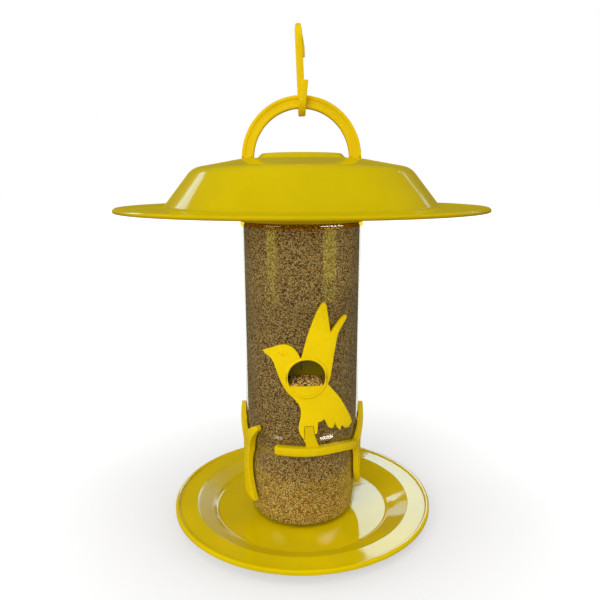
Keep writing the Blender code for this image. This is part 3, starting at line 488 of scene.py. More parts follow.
def lathe(name, outline, steps, material=None, closed=True, warp=None, angle=SHARP_ANGLE):
    """Spin an outline of (radius, height) about Z. A warp may change each ring's radius by angle."""
    maker = bmesh.new()
    rings = []
    for turn in turns(steps):
        line = [(warp(radius, height, turn) if warp else radius, height) for radius, height in outline]
        rings.append([maker.verts.new(spot(radius, turn, height)) for radius, height in line])
    count = len(outline)
    for ring, following in zip(rings, rings[1:] + rings[:1]):
        for index in range(count if closed else count - 1):
            after = (index + 1) % count
            maker.faces.new((ring[index], following[index], following[after], ring[after]))
    return finished(name, maker, material, angle)


def bridge(maker, rows):
    """Faces between each closed row of vertices and the next."""
    for row, after_row in zip(rows, rows[1:]):
        for step in range(len(row)):
            after = (step + 1) % len(row)
            maker.faces.new((row[step], row[after], after_row[after], after_row[step]))


def loft(name, sections, material=None, ring=False, angle=SHARP_ANGLE):
    """A solid through equal sections, with closed ends unless it is a ring."""
    maker = bmesh.new()
    rows = [[maker.verts.new(point) for point in section] for section in sections]
    bridge(maker, rows + rows[:1] if ring else rows)
    if not ring:
        maker.faces.new(rows[0])
        maker.faces.new(rows[-1])
    return finished(name, maker, material, angle)


def barrel(name, radius, near, far, height):
    """A cylinder that lies along Y."""
    ring = [(radius * math.cos(turn), height + radius * math.sin(turn)) for turn in turns(64)]
    return loft(name, [[(x, place, z) for x, z in ring] for place in (near, far)])


def block(name, low, high, edge=0.0):
    """A box, with softened edges where an edge is given."""
    maker = bmesh.new()
    bmesh.ops.create_cube(maker, size=1)
    low, high = Vector(low), Vector(high)
    bmesh.ops.scale(maker, vec=high - low, verts=maker.verts)
    bmesh.ops.translate(maker, vec=(low + high) / 2, verts=maker.verts)
    if edge:
        bmesh.ops.bevel(maker, geom=maker.edges[:], offset=edge, segments=2, affect="EDGES", profile=0.5)
    return finished(name, maker)


def wrapped(name, outline, inner, outer, material, edge=0.0005, lift=None, floor=None):
    """A flat plate with softened outer edges, bent round the Z axis: x is the arc at outer. A lift raises
    it off the jar by height, and a floor is the least radius at a height."""
    outline = counterclockwise(outline)
    thick, cell = outer - inner, 0.0022
    layers = [(0.0, 0.0), (0.0, thick - edge)]
    layers += [(edge * (1 - math.cos(a)), thick - edge * (1 - math.sin(a))) for a in (0.5, 1.0, math.pi / 2)]
    maker = bmesh.new()
    rows = []
    for inset, out in layers:
        line = shrunk(outline, inset) if inset else outline
        rows.append([maker.verts.new((x, z, out)) for x, z in line])
    bridge(maker, rows)
    maker.faces.new(rows[0])
    maker.faces.new(rows[-1])
    for axis, normal in enumerate((Vector((1, 0, 0)), Vector((0, 1, 0)))):
        values = [point[axis] for point in outline]
        low, high = min(values), max(values)
        count = math.ceil((high - low) / cell)
        for step in range(1, count):
            bmesh.ops.bisect_plane(
                maker, geom=maker.verts[:] + maker.edges[:] + maker.faces[:], dist=0.00001,
                plane_co=normal * (low + (high - low) * step / count), plane_no=normal,
            )
    for vert in maker.verts:
        along, height, out = vert.co
        radius = inner + out
        if lift:
            radius += lift(height)
        if floor:
            radius = max(radius, floor(height))
        vert.co = from_front(radius, along / outer, height)
    return finished(name, maker, material)


def turn_z(obj, angle):
    """Turn an object's mesh about Z."""
    obj.data.transform(Matrix.Rotation(angle, 4, "Z"))
    return obj


def ride(obj, body, slot, *nodes):
    """Put a piece on its body, and hide the CAD nodes that it stands for. Its slot is not used."""
    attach(obj, body)
    if nodes:
        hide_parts(*nodes)


# Tray

def build_tray():
    """The glossy tray with its hub, sloped wall, flange and lip."""
    corners = [
        (BOLT_HOLE, 0.0084, 0.0004), (0.0130, 0.0084, 0.0008), (0.0160, 0.0022, 0.0010),
        (0.0674, 0.0022, 0.0070), (0.0834, 0.0098, 0.0018), (0.0970, 0.0098, 0.0006),
        (0.0974, 0.0110, 0.0006), (0.1000, 0.0110, 0.0009), (0.1000, 0.0074, 0.0007),
        (0.0972, 0.0076, 0.0010), (0.0836, 0.0076, 0.0050), (0.0660, 0.0000, 0.0050),
        (0.0160, 0.0000, 0.0006), (0.0130, 0.0062, 0.0006), (BOLT_HOLE, 0.0062, 0.0003),
    ]
    tray = lathe("tray_shell", filleted(corners, True, 6), 144, TRAY, angle=50)
    ride(tray, "feeder", "yellow_plastic", "tray")


# Jar

JAR_OUTER = filleted((
    (BOLT_HOLE, 0.0087, 0), (0.0140, 0.0087, 0.001), (0.0170, 0.0025, 0.0012), (0.0405, 0.0025, 0.0050),
    (0.0417, 0.0165, 0.006), (0.0417, 0.0510, 0.010), (0.0402, 0.0600, 0.006), (0.0428, 0.0742, 0.003),
    (0.0430, 0.0750, 0.0004), (0.0422, 0.0774, 0.0006), (0.0430, 0.0798, 0.0040), (0.0430, 0.2232, 0.0006),
    (0.0438, 0.2237, 0.0006), (0.0438, 0.2262, 0.0006), (0.0428, 0.2266, 0.0004), (0.0415, 0.2266, 0.0004),
    (0.0415, 0.2470, 0),
), steps=6)
JAR_INNER = filleted((
    (BOLT_HOLE, 0.0099, 0), (0.0145, 0.0099, 0.001), (0.0178, 0.0037, 0.0012), (0.0393, 0.0037, 0.0045),
    (0.0405, 0.0165, 0.006), (0.0405, 0.0510, 0.010), (0.0390, 0.0600, 0.006), (0.0418, 0.0760, 0.009),
    (0.0418, 0.2240, 0.001), (0.0403, 0.2275, 0.001), (0.0403, 0.2470, 0),
), steps=6)
JAR_SIDE = [point for point in JAR_OUTER if point[0] > 0.03]


def jar_radius(height):
    """The jar's outer radius at a height, for what lies on it."""
    return float(np.interp(height, [z for _, z in JAR_SIDE], [r for r, _ in JAR_SIDE]))


def jar_thread():
    """The helical thread on the jar's neck, which fades in and out."""
    neck, sunk, least, rise = 0.0415, -0.0003, 0.0002, 0.0007
    low, climb, rounds, run_out, steps = 0.2335, 0.0105, 2.1, 0.06, 150
    sections = []
    for step in range(steps + 1):
        share = step / steps
        turn = TURN * rounds * share
        fade = min(1, share / run_out, (1 - share) / run_out)
        deep = least + rise * fade
        level = low + climb * share
        profile = ((sunk, -0.0012), (deep, -0.0006), (deep, 0.0006), (sunk, 0.0012))
        sections.append([spot(neck + out, turn, level + up) for out, up in profile])
    return loft("thread", sections)


def build_jar():
    """The clear jar: a shell with a bead, two port holes and the thread."""
    jar = lathe("jar_shell", JAR_OUTER + JAR_INNER[::-1], 120, CLEAR, angle=50)
    for _, half in SIDES:
        hole = barrel("hole", PORT_HOLE, JAR_FRONT, -JAR_R / 2, PORT_Z)
        combine(jar, turn_z(hole, PORT_TURN + half))
    merged(jar, jar_thread())
    ride(jar, "feeder", "clear_plastic", "jar")


# Seed

def ellipsoids(name, places, seed, size):
    """Loose grains: small rounded ellipsoids at given places, each with its own turn."""
    picker = np.random.default_rng(seed)
    unit = bmesh.new()
    bmesh.ops.create_icosphere(unit, subdivisions=2, radius=1)
    shape = np.array([v.co for v in unit.verts])
    faces = np.array([[v.index for v in f.verts] for f in unit.faces])
    unit.free()
    points, corners = [], []
    smallest, largest, form = 0.82, 1.12, np.array([1.0, 0.86, 0.92])
    for index, place in enumerate(places):
        scale = size * picker.uniform(smallest, largest) * form
        angle, axis = picker.uniform(0, TURN), Vector(picker.normal(size=3)).normalized()
        points.append((shape * scale) @ np.array(Matrix.Rotation(angle, 3, axis)).T + np.array(place))
        corners.append(faces + index * len(shape))
    mesh = bpy.data.meshes.new(name)
    mesh.from_pydata(np.concatenate(points).tolist(), [], np.concatenate(corners).tolist())
    mesh.shade_smooth()
    mesh.materials.append(GRAIN)
    return placed(name, mesh)


def port_space(front, grow):
    """The outer shape of a port: a sleeve, then a hood cut off level at its lip."""
    radius, drop, past = SLEEVE + grow, 0.0045, 0.003
    sleeve_end, hood_end = SLEEVE_END - grow, HOOD_END - grow
    lip = PORT_Z - drop - grow
    body = barrel("body", radius, front, -hood_end, PORT_Z)
    low = (-radius - past, -sleeve_end, lip - radius - past)
    return combine(body, block("below", low, (radius + past, past - hood_end, lip)))


def heap_places(picker):
    """Places for the loose grains in a port: a low mound that fills its foot."""
    tries, half, room, front, run = 900, 0.0120, 0.0126, 0.0436, 0.0160
    drop, rise, rough, steep, round_off = 0.0064, 0.0022, 0.0005, 2.2, 0.0135
    places = []
    for _ in range(tries):
        across, deep = picker.uniform(-half, half), picker.uniform(0, 1)
        crown = min(1, steep * deep) * (1 - (across / round_off) ** 2)
        level = PORT_Z - drop + rise * crown + picker.uniform(-rough, rough)
        if across ** 2 + (level - PORT_Z) ** 2 <= room ** 2:
            places.append((across, -(front - run * deep), level))
    return places


def top_places(picker):
    """Places for the loose grains on top of the seed, clear of the handle's feet."""
    tries, reach, top, rough, foot_half, foot_near = 2300, 0.0388, 0.2408, 0.0004, 0.0045, 0.030
    places = []
    for _ in range(tries):
        radius, turn = reach * math.sqrt(picker.uniform(0, 1)), picker.uniform(0, TURN)
        if abs(radius * math.sin(turn)) >= foot_half or radius <= foot_near:
            places.append(spot(radius, turn, top + rough * picker.uniform(-1, 1)))
    return places


def build_seed():
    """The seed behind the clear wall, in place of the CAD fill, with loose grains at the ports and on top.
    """
    corners = [
        (0.0, 0.0153, 0), (0.0088, 0.0153, 0.001), (0.0088, 0.0102, 0), (0.0150, 0.0102, 0.001),
        (0.0180, 0.0040, 0.001), (0.0389, 0.0040, 0.0045), (0.0402, 0.0165, 0.006), (0.0402, 0.0510, 0.010),
        (0.0387, 0.0600, 0.006), (0.0415, 0.0760, 0.009), (0.0415, 0.2238, 0.001), (0.0400, 0.2272, 0.001),
        (0.0400, 0.2409, 0.002), (0.0, 0.2409, 0),
    ]
    seed = lathe("seed_pack", filleted(corners, steps=5), 120, SEED, closed=False, angle=60)
    for _, half in SIDES:
        combine(seed, turn_z(port_space(JAR_FRONT, GAP), PORT_TURN + half))
    ride(seed, "feeder", "millet", "seed_fill")
    picker = np.random.default_rng(7)
    for name, half in SIDES:
        heap = ellipsoids("loose_seed_" + name, heap_places(picker), 11, 0.00072)
        ride(turn_z(heap, PORT_TURN + half), "feeder", "millet")
    top = ellipsoids("loose_seed_top", top_places(picker), 5, 0.00105)
    ride(top, "feeder", "millet")


# Roof, cap and handle

def foot_slots(target, low, high):
    """Cut the two slots that the handle's feet snap through."""
    near, far, half = 0.0337, 0.0389, 0.0033
    for side in (-1, 1):
        left, right = sorted((side * near, side * far))
        combine(target, block("slot", (left, -half, low), (right, half, high)))


def build_roof():
    """The wide roof: a raised disc, a low crown, a sloping wall, a flat brim and a thin lip."""
    corners = [
        (0.0, 0.2727, 0), (0.0278, 0.2727, 0.0012), (0.0318, 0.2690, 0.0008), (0.0435, 0.2690, 0.0200),
        (0.0757, 0.2631, 0.0140), (0.0966, 0.2370, 0.0028), (0.1283, 0.2370, 0.0012),
        (0.12949, 0.2360, 0.0007), (0.12949, 0.2342, 0.0006), (0.1272, 0.2344, 0.0006),
        (0.0955, BRIM_LIP, 0.0020), (0.0746, 0.2611, 0.0030), (0.0446, 0.2666, 0.0006),
        (0.0446, 0.2515, 0.0004), (0.0428, 0.2515, 0.0004), (0.0428, 0.2668, 0.0006), (0.0, 0.2668, 0),
    ]
    roof = lathe("roof_shell", filleted(corners, steps=7), 160, ROOF, closed=False, angle=40)
    foot_slots(roof, 0.260, 0.275)
    ride(roof, "head", "yellow_plastic", "roof")


def build_cap():
    """The screw cap with fine grip ribs round its skirt."""
    ribs, rib_half = 72, 0.00035

    def ribbed(radius, height, turn):
        on_skirt = radius > 0.0444 and height < 0.2500
        return radius - rib_half * (1 - math.cos(ribs * turn)) if on_skirt else radius

    corners = [
        (0.0, 0.2486, 0), (0.0428, 0.2486, 0.0005), (0.0428, 0.2269, 0.0004), (0.0446, 0.2269, 0.0006),
        (0.0446, 0.2512, 0.0010), (0.0, 0.2512, 0),
    ]
    cap = lathe("cap_shell", filleted(corners, steps=3), 4 * ribs, ROOF, closed=False, warp=ribbed, angle=50)
    foot_slots(cap, 0.245, 0.255)
    ride(cap, "head", "yellow_plastic", "jar_cap")


def build_handle():
    """The arch handle: an I-shaped section with softened edges, soles, barbed feet and two ribs."""
    half, web, inner, outer, flange, slope = 0.0035, 0.0028, 0.0333, 0.0416, 0.0019, 0.0011
    near, far = inner + flange, outer - flange
    section = filleted([
        (inner, -half, 0.0007), (near, -half, 0.0006), (near + slope, -web, 0.0012),
        (far - slope, -web, 0.0012), (far, -half, 0.0006), (outer, -half, 0.0007),
        (outer, half, 0.0007), (far, half, 0.0006), (far - slope, web, 0.0012),
        (near + slope, web, 0.0012), (near, half, 0.0006), (inner, half, 0.0007),
    ], True, 3)
    level, steps = 0.2693, 96
    sections = []
    for step in range(steps + 1):
        turn = math.pi * step / steps
        sections.append([(r * math.cos(turn), y, level + r * math.sin(turn)) for r, y in section])
    arch = loft("handle_arch", sections, RING, angle=50)
    foot_half, foot_low, edge = 0.003, 0.2443, 0.0004
    sole = (inner, outer, half, level, 0.2713)
    foot = (0.0340, 0.0386, foot_half, foot_low, 0.2703)
    barb = (0.0375, 0.0397, foot_half, foot_low, 0.2483)
    rib_place, rib_half, rib_deep, rib_low, rib_high = 0.0054, 0.0014, 0.0029, 0.30345, 0.30985
    parts = []
    for side in (-1, 1):
        for start, end, deep, low, high in (sole, foot, barb):
            left, right = sorted((side * start, side * end))
            parts.append(block("foot", (left, -deep, low), (right, deep, high), edge))
        rib = side * rib_place
        corners = (rib - rib_half, -rib_deep, rib_low), (rib + rib_half, rib_deep, rib_high)
        parts.append(block("rib", *corners, edge))
    merged(arch, *parts)
    ride(arch, "head", "bright_yellow_plastic", "handle_ring")


# Hook

HOOK_LOW_R, HOOK_UP_R = 0.0080, 0.0112
HOOK_THICK, HOOK_WIDE = 0.0034, 0.0050
HOOK_LENGTH = 0.063
HOOK_LOWER = 0.30707
HOOK_BOTTOM = HOOK_LOWER - HOOK_LOW_R
HOOK_TOP = HOOK_BOTTOM + HOOK_LENGTH - HOOK_THICK
HOOK_UPPER = HOOK_TOP - HOOK_UP_R


def hook_path():
    """The hook's middle line, from the tip of its top bend to the tip of its low one. Both tips lean."""
    up_tip, low_tip = HOOK_UPPER - 0.0067, HOOK_LOWER + 0.0125
    steps, shaft_steps, shares = 22, 8, [0, 0.18, 0.4, 0.6, 0.8]
    bend = [math.pi * step / steps for step in range(steps + 1)]
    shaft = HOOK_LOWER - HOOK_UPPER
    line = [(HOOK_LOW_R + 2 * HOOK_UP_R, up_tip + (HOOK_UPPER - up_tip) * share) for share in shares]
    for turn in bend:
        line.append((HOOK_LOW_R + HOOK_UP_R * (1 + math.cos(turn)), HOOK_UPPER + HOOK_UP_R * math.sin(turn)))
    line += [(HOOK_LOW_R, HOOK_UPPER + shaft * step / shaft_steps) for step in range(1, shaft_steps)]
    for turn in bend:
        line.append((HOOK_LOW_R * math.cos(turn), HOOK_LOWER - HOOK_LOW_R * math.sin(turn)))
    line += [(-HOOK_LOW_R, HOOK_LOWER + (low_tip - HOOK_LOWER) * (1 - share)) for share in shares[::-1]]
    low_lean, up_lean, up_run = 0.0026, 0.0016, 0.011
    path = []
    for depth, height in line:
        lean = 0
        if depth < 0:
            lean = low_lean * (height - HOOK_BOTTOM) / (low_tip - HOOK_BOTTOM)
        if depth > HOOK_LOW_R + HOOK_UP_R:
            lean = up_lean * min(1, (HOOK_TOP - height) / up_run)
        path.append(Vector((lean, depth, height)))
    return path


def build_hook():
    """The flat S-shaped hanging hook with rounded edges and ends, narrower over its top bend."""
    soft = 0.0010
    corners = []
    for x, y in ((1, 1), (-1, 1), (-1, -1), (1, -1)):
        corners.append((x * HOOK_WIDE / 2, y * HOOK_THICK / 2, soft))
    section = filleted(corners, True, 3)
    path = hook_path()
    last = len(path) - 1
    least, widening = 0.62, 0.95
    sections = []
    for index, here in enumerate(path):
        along = path[min(index + 1, last)] - path[max(index - 1, 0)]
        along.x = 0
        along.normalize()
        narrow = 1
        if here.z > HOOK_UPPER:
            from_top = math.acos(min(1, (here.z - HOOK_UPPER) / HOOK_UP_R))
            narrow = least + (1 - least) * min(1, from_top / widening)
        sections.append([here + Vector((x * narrow, -along.z * y, along.y * y)) for x, y in section])
    back, part_back, nearly_full, flat_end = 0.0006, 0.0002, 0.93, 0.72
    for end, outward in ((0, Vector((0, 0, -1))), (-1, Vector((0, 0, 1)))):
        ring = sections.pop(end)
        centre = sum(ring, Vector()) / len(ring)
        closing = [
            [point - outward * back for point in ring],
            [centre + (point - centre) * nearly_full - outward * part_back for point in ring],
            [centre + (point - centre) * flat_end for point in ring],
        ]
        sections = closing[::-1] + sections if end == 0 else sections + closing
    hook = loft("hook_bar", sections, RING, angle=60)
    pivot, side_tilt = Vector((0, 0, HOOK_LOWER)), math.radians(-2.4)
    tilt = Matrix.Rotation(side_tilt, 4, "Y")
    hook.data.transform(Matrix.Translation(pivot) @ tilt @ Matrix.Translation(-pivot))
    ride(hook, "hook", "bright_yellow_plastic", "hanging_hook")


# Birds, with outlines in shares of a bird's height from the middle of its port

HEAD = (
    (-0.345, 0.186), (-0.300, 0.205), (-0.262, 0.216), (-0.215, 0.238), (-0.168, 0.248), (-0.128, 0.243),
    (-0.100, 0.226), (-0.075, 0.202), (-0.058, 0.176), (-0.042, 0.140),
)
WING = (
    (0.003, 0.303), (0.046, 0.422), (0.094, 0.523), (0.127, 0.553), (0.146, 0.540), (0.162, 0.440),
    (0.181, 0.322), (0.234, 0.380), (0.284, 0.427), (0.323, 0.441), (0.332, 0.424), (0.296, 0.379),
    (0.254, 0.329), (0.238, 0.290), (0.225, 0.226), (0.208, 0.138), (0.192, 0.040), (0.180, -0.022),
    (0.161, -0.058),
)
TAIL = (
    (0.268, -0.177), (0.310, -0.242), (0.352, -0.305), (0.395, -0.370), (0.418, -0.420), (0.396, -0.431),
    (0.384, -0.441), (0.367, -0.455), (0.352, -0.431), (0.341, -0.452), (0.318, -0.428), (0.290, -0.413),
    (0.281, -0.445), (0.253, -0.425), (0.228, -0.373), (0.213, -0.413), (0.174, -0.408), (0.154, -0.364),
    (0.136, -0.329), (0.111, -0.347), (0.087, -0.350), (0.086, -0.396), (0.078, -0.442),
)
LEG = (
    (-0.012, -0.490), (-0.034, -0.462), (-0.054, -0.427), (-0.061, -0.388), (-0.055, -0.350),
    (-0.046, -0.315), (-0.041, -0.262), (-0.050, -0.215),
)
BELLY = (
    (-0.088, -0.163), (-0.143, -0.116), (-0.188, -0.047), (-0.211, 0.012), (-0.235, 0.068),
    (-0.252, 0.115), (-0.280, 0.144), (-0.325, 0.166),
)
EYE_X, EYE_Z = -0.178 * BIRD_H, PORT_Z + 0.182 * BIRD_H
SLOT_Z = -0.0357
SLOT_LEFT, SLOT_RIGHT = -0.0018, 0.0051
SLOT_LEAN_LEFT, SLOT_LEAN_RIGHT = 0.04, 0.14


def eye_lid():
    """The raised almond line round the bird's eye."""
    wide, high, pointed, broad, tall, raised, thick = 0.0027, 0.0015, 0.35, 0.13, 0.22, 0.0001, 0.0005
    sections = []
    for turn in turns(28):
        squeeze = 1 - pointed * abs(math.cos(turn)) ** 3
        x, z = EYE_X + wide * math.cos(turn), EYE_Z + high * math.sin(turn) * squeeze
        section = []
        for tilt in turns(6):
            along = EYE_X + (x - EYE_X) * (1 + broad * math.cos(tilt))
            height = EYE_Z + (z - EYE_Z) * (1 + tall * math.cos(tilt))
            section.append(on_jar(along, height, BIRD_OUT + raised + thick * math.sin(tilt)))
        sections.append(section)
    return loft("lid", sections, ring=True, angle=80)


def eye_pupil():
    """The low dome in the bird's eye."""
    wide, high = 0.0011, 0.0009
    sections = []
    for share, out in ((1.0, -0.0002), (0.9, 0.0003), (0.6, 0.0006), (0.2, 0.0007)):
        section = []
        for turn in turns(20):
            x, z = EYE_X + wide * share * math.cos(turn), EYE_Z + high * share * math.sin(turn)
            section.append(on_jar(x, z, BIRD_OUT + out))
        sections.append(section)
    return loft("pupil", sections, angle=80)


def build_bird(name, half):
    """A bird plate on the jar, with softened edges, a slot in its leg and a moulded eye."""
    leg_end, foot_end = TAIL[-1][1] * BIRD_H, LEG[0][1] * BIRD_H
    points = [(x * BIRD_H, z * BIRD_H) for x, z in HEAD + WING + TAIL]
    points += [
        (SLOT_RIGHT + SLOT_LEAN_RIGHT * (SLOT_Z - leg_end), leg_end), (SLOT_RIGHT, SLOT_Z),
        (SLOT_LEFT, SLOT_Z), (SLOT_LEFT + SLOT_LEAN_LEFT * (SLOT_Z - foot_end), foot_end),
    ]
    points += [(x * BIRD_H, z * BIRD_H) for x, z in LEG + BELLY]
    points = softened([(x, PORT_Z + z) for x, z in points])
    bird = wrapped("bird_plate_" + name, points, BIRD_IN, BIRD_OUT, SATIN)
    combine(bird, barrel("hole", PORT_HOLE, -0.050, -0.030, PORT_Z))
    merged(bird, eye_lid(), eye_pupil())
    ride(turn_z(bird, PORT_TURN + half), "feeder", "bright_yellow_plastic", "bird_" + name)


def port_rim(name):
    """The rounded rim of a port, which follows the bird plate."""
    back = -0.0440
    profile = (
        (BORE, 0.0453), (BORE - 0.0004, 0.0459), (BORE - 0.0003, 0.0463), (BORE, 0.0465),
        (BORE + 0.0005, 0.0466), (SLEEVE + 0.0002, 0.0464), (SLEEVE + 0.0007, 0.0460),
        (SLEEVE + 0.0009, 0.0457), (SLEEVE, 0.0457),
    )
    sections = []
    for turn in turns(72):
        section = []
        for radius, out in profile:
            x, z = radius * math.cos(turn), PORT_Z + radius * math.sin(turn)
            section.append((x, -math.sqrt(out ** 2 - x ** 2), z))
        for radius in (SLEEVE, BORE):
            section.append((radius * math.cos(turn), back, PORT_Z + radius * math.sin(turn)))
        sections.append(section)
    return loft(name, sections, SATIN, ring=True, angle=50)


def build_port(name, half):
    """A feeding port: the rim, a sleeve through the wall, a hood with a slit in its end, and a sill."""
    rim = port_rim("rim_" + name)
    body = port_space(-0.0445, 0)
    # The port's sleeve and hood take the painted shade material
    body.data.materials.append(PORT_SHADE)
    front, hood_wall, overlap, sill_in, sill_top = -0.050, 0.0009, 0.0004, 0.0443, PORT_Z - 0.006
    combine(body, barrel("bore", BORE, front, -HOOD_END - hood_wall, PORT_Z))
    sill = barrel("sill", BORE + overlap, front, -SLEEVE_END, PORT_Z)
    ceiling = 0.24
    shell = [(sill_in, 0), (BIRD_OUT, 0), (BIRD_OUT, ceiling), (sill_in, ceiling)]
    combine(sill, lathe("plate", shell, 160), "INTERSECT")
    combine(sill, block("above", (-JAR_R, front, sill_top), (JAR_R, 0, ceiling)))
    slit_low = (-0.0029, -HOOD_END - 0.0016, PORT_Z + 0.0004)
    slit_high = (-0.0021, -HOOD_END + 0.001, PORT_Z + 0.0062)
    combine(body, block("slit", slit_low, slit_high))
    merged(rim, body, sill)
    rim.name = "port_" + name
    ride(turn_z(rim, PORT_TURN + half), "feeder", "bright_yellow_plastic", "feed_port_" + name)


# Branches: the tree in shares of its height, the tongue's rows as height from the port, left and right

TREE_Z, TREE_H = 0.0146, 0.075
TREE_OUT = BIRD_IN + 0.0024
TREE = (
    (-0.030, 0.075), (0.180, 0.050), (0.411, 0.060), (0.335, 0.200), (0.280, 0.350), (0.290, 0.480),
    (0.312, 0.610), (0.361, 0.702), (0.438, 0.805), (0.500, 0.866), (0.478, 0.908), (0.400, 0.870),
    (0.305, 0.806), (0.226, 0.742), (0.150, 0.655), (0.085, 0.720), (0.045, 0.830), (0.020, 0.930),
    (-0.008, 1.000), (-0.050, 0.975), (-0.090, 0.880), (-0.128, 0.780), (-0.175, 0.700),
    (-0.236, 0.640), (-0.236, 0.420), (-0.212, 0.280), (-0.125, 0.150),
)
TONGUE = (
    (-0.0540, -0.0004, 0.0112), (-0.0525, 0.0000, 0.0098), (-0.0505, -0.0004, 0.0086),
    (-0.0475, -0.0009, 0.0076), (-0.0440, -0.0012, 0.0062), (-0.0400, -0.0013, 0.0054),
    (-0.0360, -0.0015, 0.0048),
)


def limb_bow(height):
    """How far the upright limb stands off the jar at a height."""
    limb_start, bow, sweep = 0.62, 0.0016, math.radians(150)
    start = TREE_Z + TREE_H * limb_start
    share = (height - start) / (TREE_Z + TREE_H - start)
    return bow * math.sin(sweep * share) if share > 0 else 0


def clear_of_jar(height):
    """The least radius at a height for what lies on the jar."""
    return jar_radius(height) + GAP


def perch_bar():
    """The perch: a bar round the front that bends in and down to its root on the tree."""
    tip, end, bend, root = (math.radians(turn) for turn in (-24.5, 76, 30, 72))
    front, tip_turn, tip_sink, easing, steps = 0.0484, 0.045, 0.0009, 1.46, 48
    start, fall, height, least, test_height = 0.0653, 0.0083, 0.0061, 0.0405, 0.0036
    sections = []
    for step in range(steps + 1):
        angle = tip + (end - tip) * step / steps
        share = min(max((angle - bend) / (root - bend), 0) ** easing, 1)
        rounding = 1 - min(1, (angle - tip) / tip_turn)
        out = front + (TREE_OUT - front) * share - tip_sink * rounding ** 2
        low = start - fall * share
        high = low + height
        inner = max(clear_of_jar(low + test_height), least)
        bar = [(inner, low, 0.0004), (out, low, 0.0010), (out, high, 0.0010), (inner, high, 0.0004)]
        corners = filleted(bar, True, 2)
        sections.append([from_front(radius, angle, z) for radius, z in corners])
    return loft("perch", sections, angle=50)


def leg_tongue():
    """The tongue that rises from the perch into the slot of the bird's leg."""
    inner, shoulder, outer, soft = 0.0415, 0.0451, 0.0455, 0.0004
    middle = PORT_TURN * BIRD_OUT
    sections = []
    for rise, left, right in TONGUE:
        height = PORT_Z + rise
        profile = (
            (left, inner), (right, inner), (right, shoulder), (right - soft, outer), (left + soft, outer),
            (left, shoulder),
        )
        section = []
        for side, radius in profile:
            section.append(on_jar(middle + side, height, max(radius, clear_of_jar(height))))
        sections.append(section)
    return loft("tongue", sections, angle=30)


def build_branch(name, half):
    """A branch on the jar: a flat tree at its side, a perch round the front and a tongue for the leg."""
    middle, inner = math.radians(90) * TREE_OUT, 0.0405
    points = softened([(middle + x * TREE_H, TREE_Z + z * TREE_H) for x, z in TREE])
    tree = wrapped(
        "branch_" + name + "_tree", points, inner, TREE_OUT, BARK,
        edge=0.0006, lift=limb_bow, floor=clear_of_jar,
    )
    merged(tree, perch_bar(), leg_tongue())
    ride(turn_z(tree, half), "feeder", "bright_yellow_plastic", "branch_" + name)


# Small CAD pieces that keep their shape

def dress(node, material):
    """Give a CAD node its material."""
    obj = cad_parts[node]
    for slot in obj.material_slots:
        slot.material = material
    if not obj.material_slots:
        obj.data.materials.append(material)


# Studio

# Each lamp: name, degrees round from the front, height, distance, size, power and colour
LAMPS = (
    ("lamp_key", -25, 0.85, 1.5, (1.2, 1.0), 12.5, PLAIN_LIGHT),
    ("lamp_front", -8, 0.22, 1.5, (1.0, 0.35), 2.5, PLAIN_LIGHT),
    ("lamp_top", 10, 1.4, 0.25, (1.0, 1.0), 3.4, PLAIN_LIGHT),
    ("lamp_left", -95, 0.45, 1.2, (0.5, 0.8), 3, PLAIN_LIGHT),
    ("lamp_right", 80, 0.45, 1.3, (0.5, 0.8), 3.7, PLAIN_LIGHT),
)

# The same for lamps that are seen only in reflections, each with the one piece that reflects it
SHINES = (
    ("window_right", 167.7, 1.03, 1.79, (0.33, 0.53), 4.0, SKY_LIGHT, "tray_shell"),
    ("window_low", 181, 0.175, 0.50, (0.10, 0.09), 0.08, SKY_LIGHT, "tray_shell"),
    ("window_left", -132, 1.11, 1.93, (0.40, 0.50), 1.9, SKY_LIGHT, "roof_shell"),
    ("window_thin", 138, 1.11, 1.93, (0.06, 0.50), 0.22, SKY_LIGHT, "roof_shell"),
    ("window_small", -163, 0.96, 1.90, (0.15, 0.12), 0.4, SKY_LIGHT, "tray_shell"),
    ("ledge_right", 58, 0.34, 1.2, (1.10, 0.34), 18.0, PLAIN_LIGHT, "jar_shell"),
    ("ledge_left", -53, 0.34, 1.2, (0.65, 0.30), 3.0, PLAIN_LIGHT, "jar_shell"),
    ("card_left", -57, 0.148, 0.45, (0.15, 0.105), 0.06, YELLOW_LIGHT, "jar_shell"),
    ("card_right", 53, 0.148, 0.45, (0.22, 0.105), 0.10, YELLOW_LIGHT, "jar_shell"),
)


def softbox(name, azimuth, height, reach, size, power, colour, shine):
    """A rectangular lamp that faces the feeder. It lights matt surfaces, or with shine glossy ones alone."""
    data = bpy.data.lights.new(name, "AREA")
    data.shape, data.size, data.size_y = "RECTANGLE", size[0], size[1]
    data.energy, data.color = power, colour
    lamp = placed(name, data)
    aim = Vector((0, 0, 0.15))
    lamp.location = from_front(reach, math.radians(azimuth), height)
    lamp.rotation_euler = (aim - lamp.location).to_track_quat("-Z", "Y").to_euler()
    lamp.visible_diffuse, lamp.visible_glossy, lamp.visible_camera = not shine, shine, False


def link_shines():
    """Let each lamp of the reflections shine on its own piece alone."""
    groups = {}
    for name, *_, piece in SHINES:
        if piece not in groups:
            groups[piece] = bpy.data.collections.new("shine_on_" + piece)
            groups[piece].objects.link(bpy.data.objects[piece])
        bpy.data.objects[name].light_linking.receiver_collection = groups[piece]


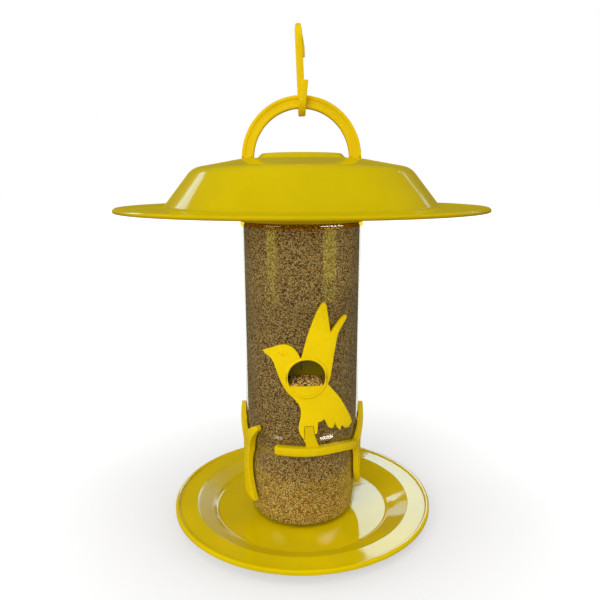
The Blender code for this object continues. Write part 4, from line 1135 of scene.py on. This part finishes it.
def build_world():
    """A white world: white to the camera, soft on matt surfaces and dim in gloss."""
    world = bpy.data.worlds.new("studio")
    bpy.context.scene.world = world
    world.use_nodes = True
    tree = world.node_tree
    tree.nodes.clear()
    path = add(tree, "LightPath").outputs
    soft_level, gloss_level = 0.56, 0.08
    level = ranged(tree, path["Is Glossy Ray"], 0, 1, soft_level, gloss_level)
    level = maths(tree, "MAXIMUM", level, path["Is Camera Ray"])
    output(tree, add(tree, "Background", {"Color": WHITE, "Strength": level}), "OutputWorld")


def build_floor():
    """A pale floor that keeps the feeder's shadow and glows to white away from it."""
    maker = bmesh.new()
    bmesh.ops.create_circle(maker, cap_ends=True, segments=96, radius=6)
    material, tree, place = new_material("pale_floor")
    path = add(tree, "LightPath").outputs
    far = vectors(tree, "LENGTH", place)["Value"]
    grey = blended(tree, path["Is Glossy Ray"], FLOOR_GREY, FLOOR_IN_GLOSS)
    matte = add(tree, "BsdfDiffuse", {"Color": grey})
    level = times(tree, path["Is Camera Ray"], ranged(tree, far, 0.10, 0.5, 0.50, 1.0))
    glow = add(tree, "Emission", {"Color": WHITE, "Strength": level})
    output(tree, add(tree, "AddShader", {0: matte.outputs[0], 1: glow.outputs[0]}))
    floor = finished("floor", maker, material)
    floor.location.z = -0.0002


def build_camera():
    """The camera at the photograph's angle."""
    pitch, roll = 14.03, 0.146
    data = bpy.data.cameras.new("camera")
    data.sensor_width, data.lens = 36, 35.46
    data.shift_x, data.shift_y = -0.0026, 0.049
    data.clip_start, data.clip_end = 0.01, 50
    camera = placed("camera", data)
    camera.location = (0, -0.43049, 0.25377)
    camera.rotation_euler = (math.radians(90 - pitch), math.radians(roll), 0)
    bpy.context.scene.camera = camera


bpy.context.scene.view_settings.view_transform = "Standard"
build_world()
build_floor()
for lamp in LAMPS:
    softbox(*lamp, shine=False)
for lamp in SHINES:
    softbox(*lamp[:-1], shine=True)
build_camera()
build_tray()
build_jar()
build_seed()
build_roof()
build_cap()
build_handle()
build_hook()
for side, half_turn in SIDES:
    build_bird(side, half_turn)
    build_port(side, half_turn)
    build_branch(side, half_turn)
for cad_node in ("tray_bolt", "tray_nut"):
    dress(cad_node, SATIN)
for cad_node in ("cap_liner", "seal_washer"):
    dress(cad_node, SEAL)
link_shines()
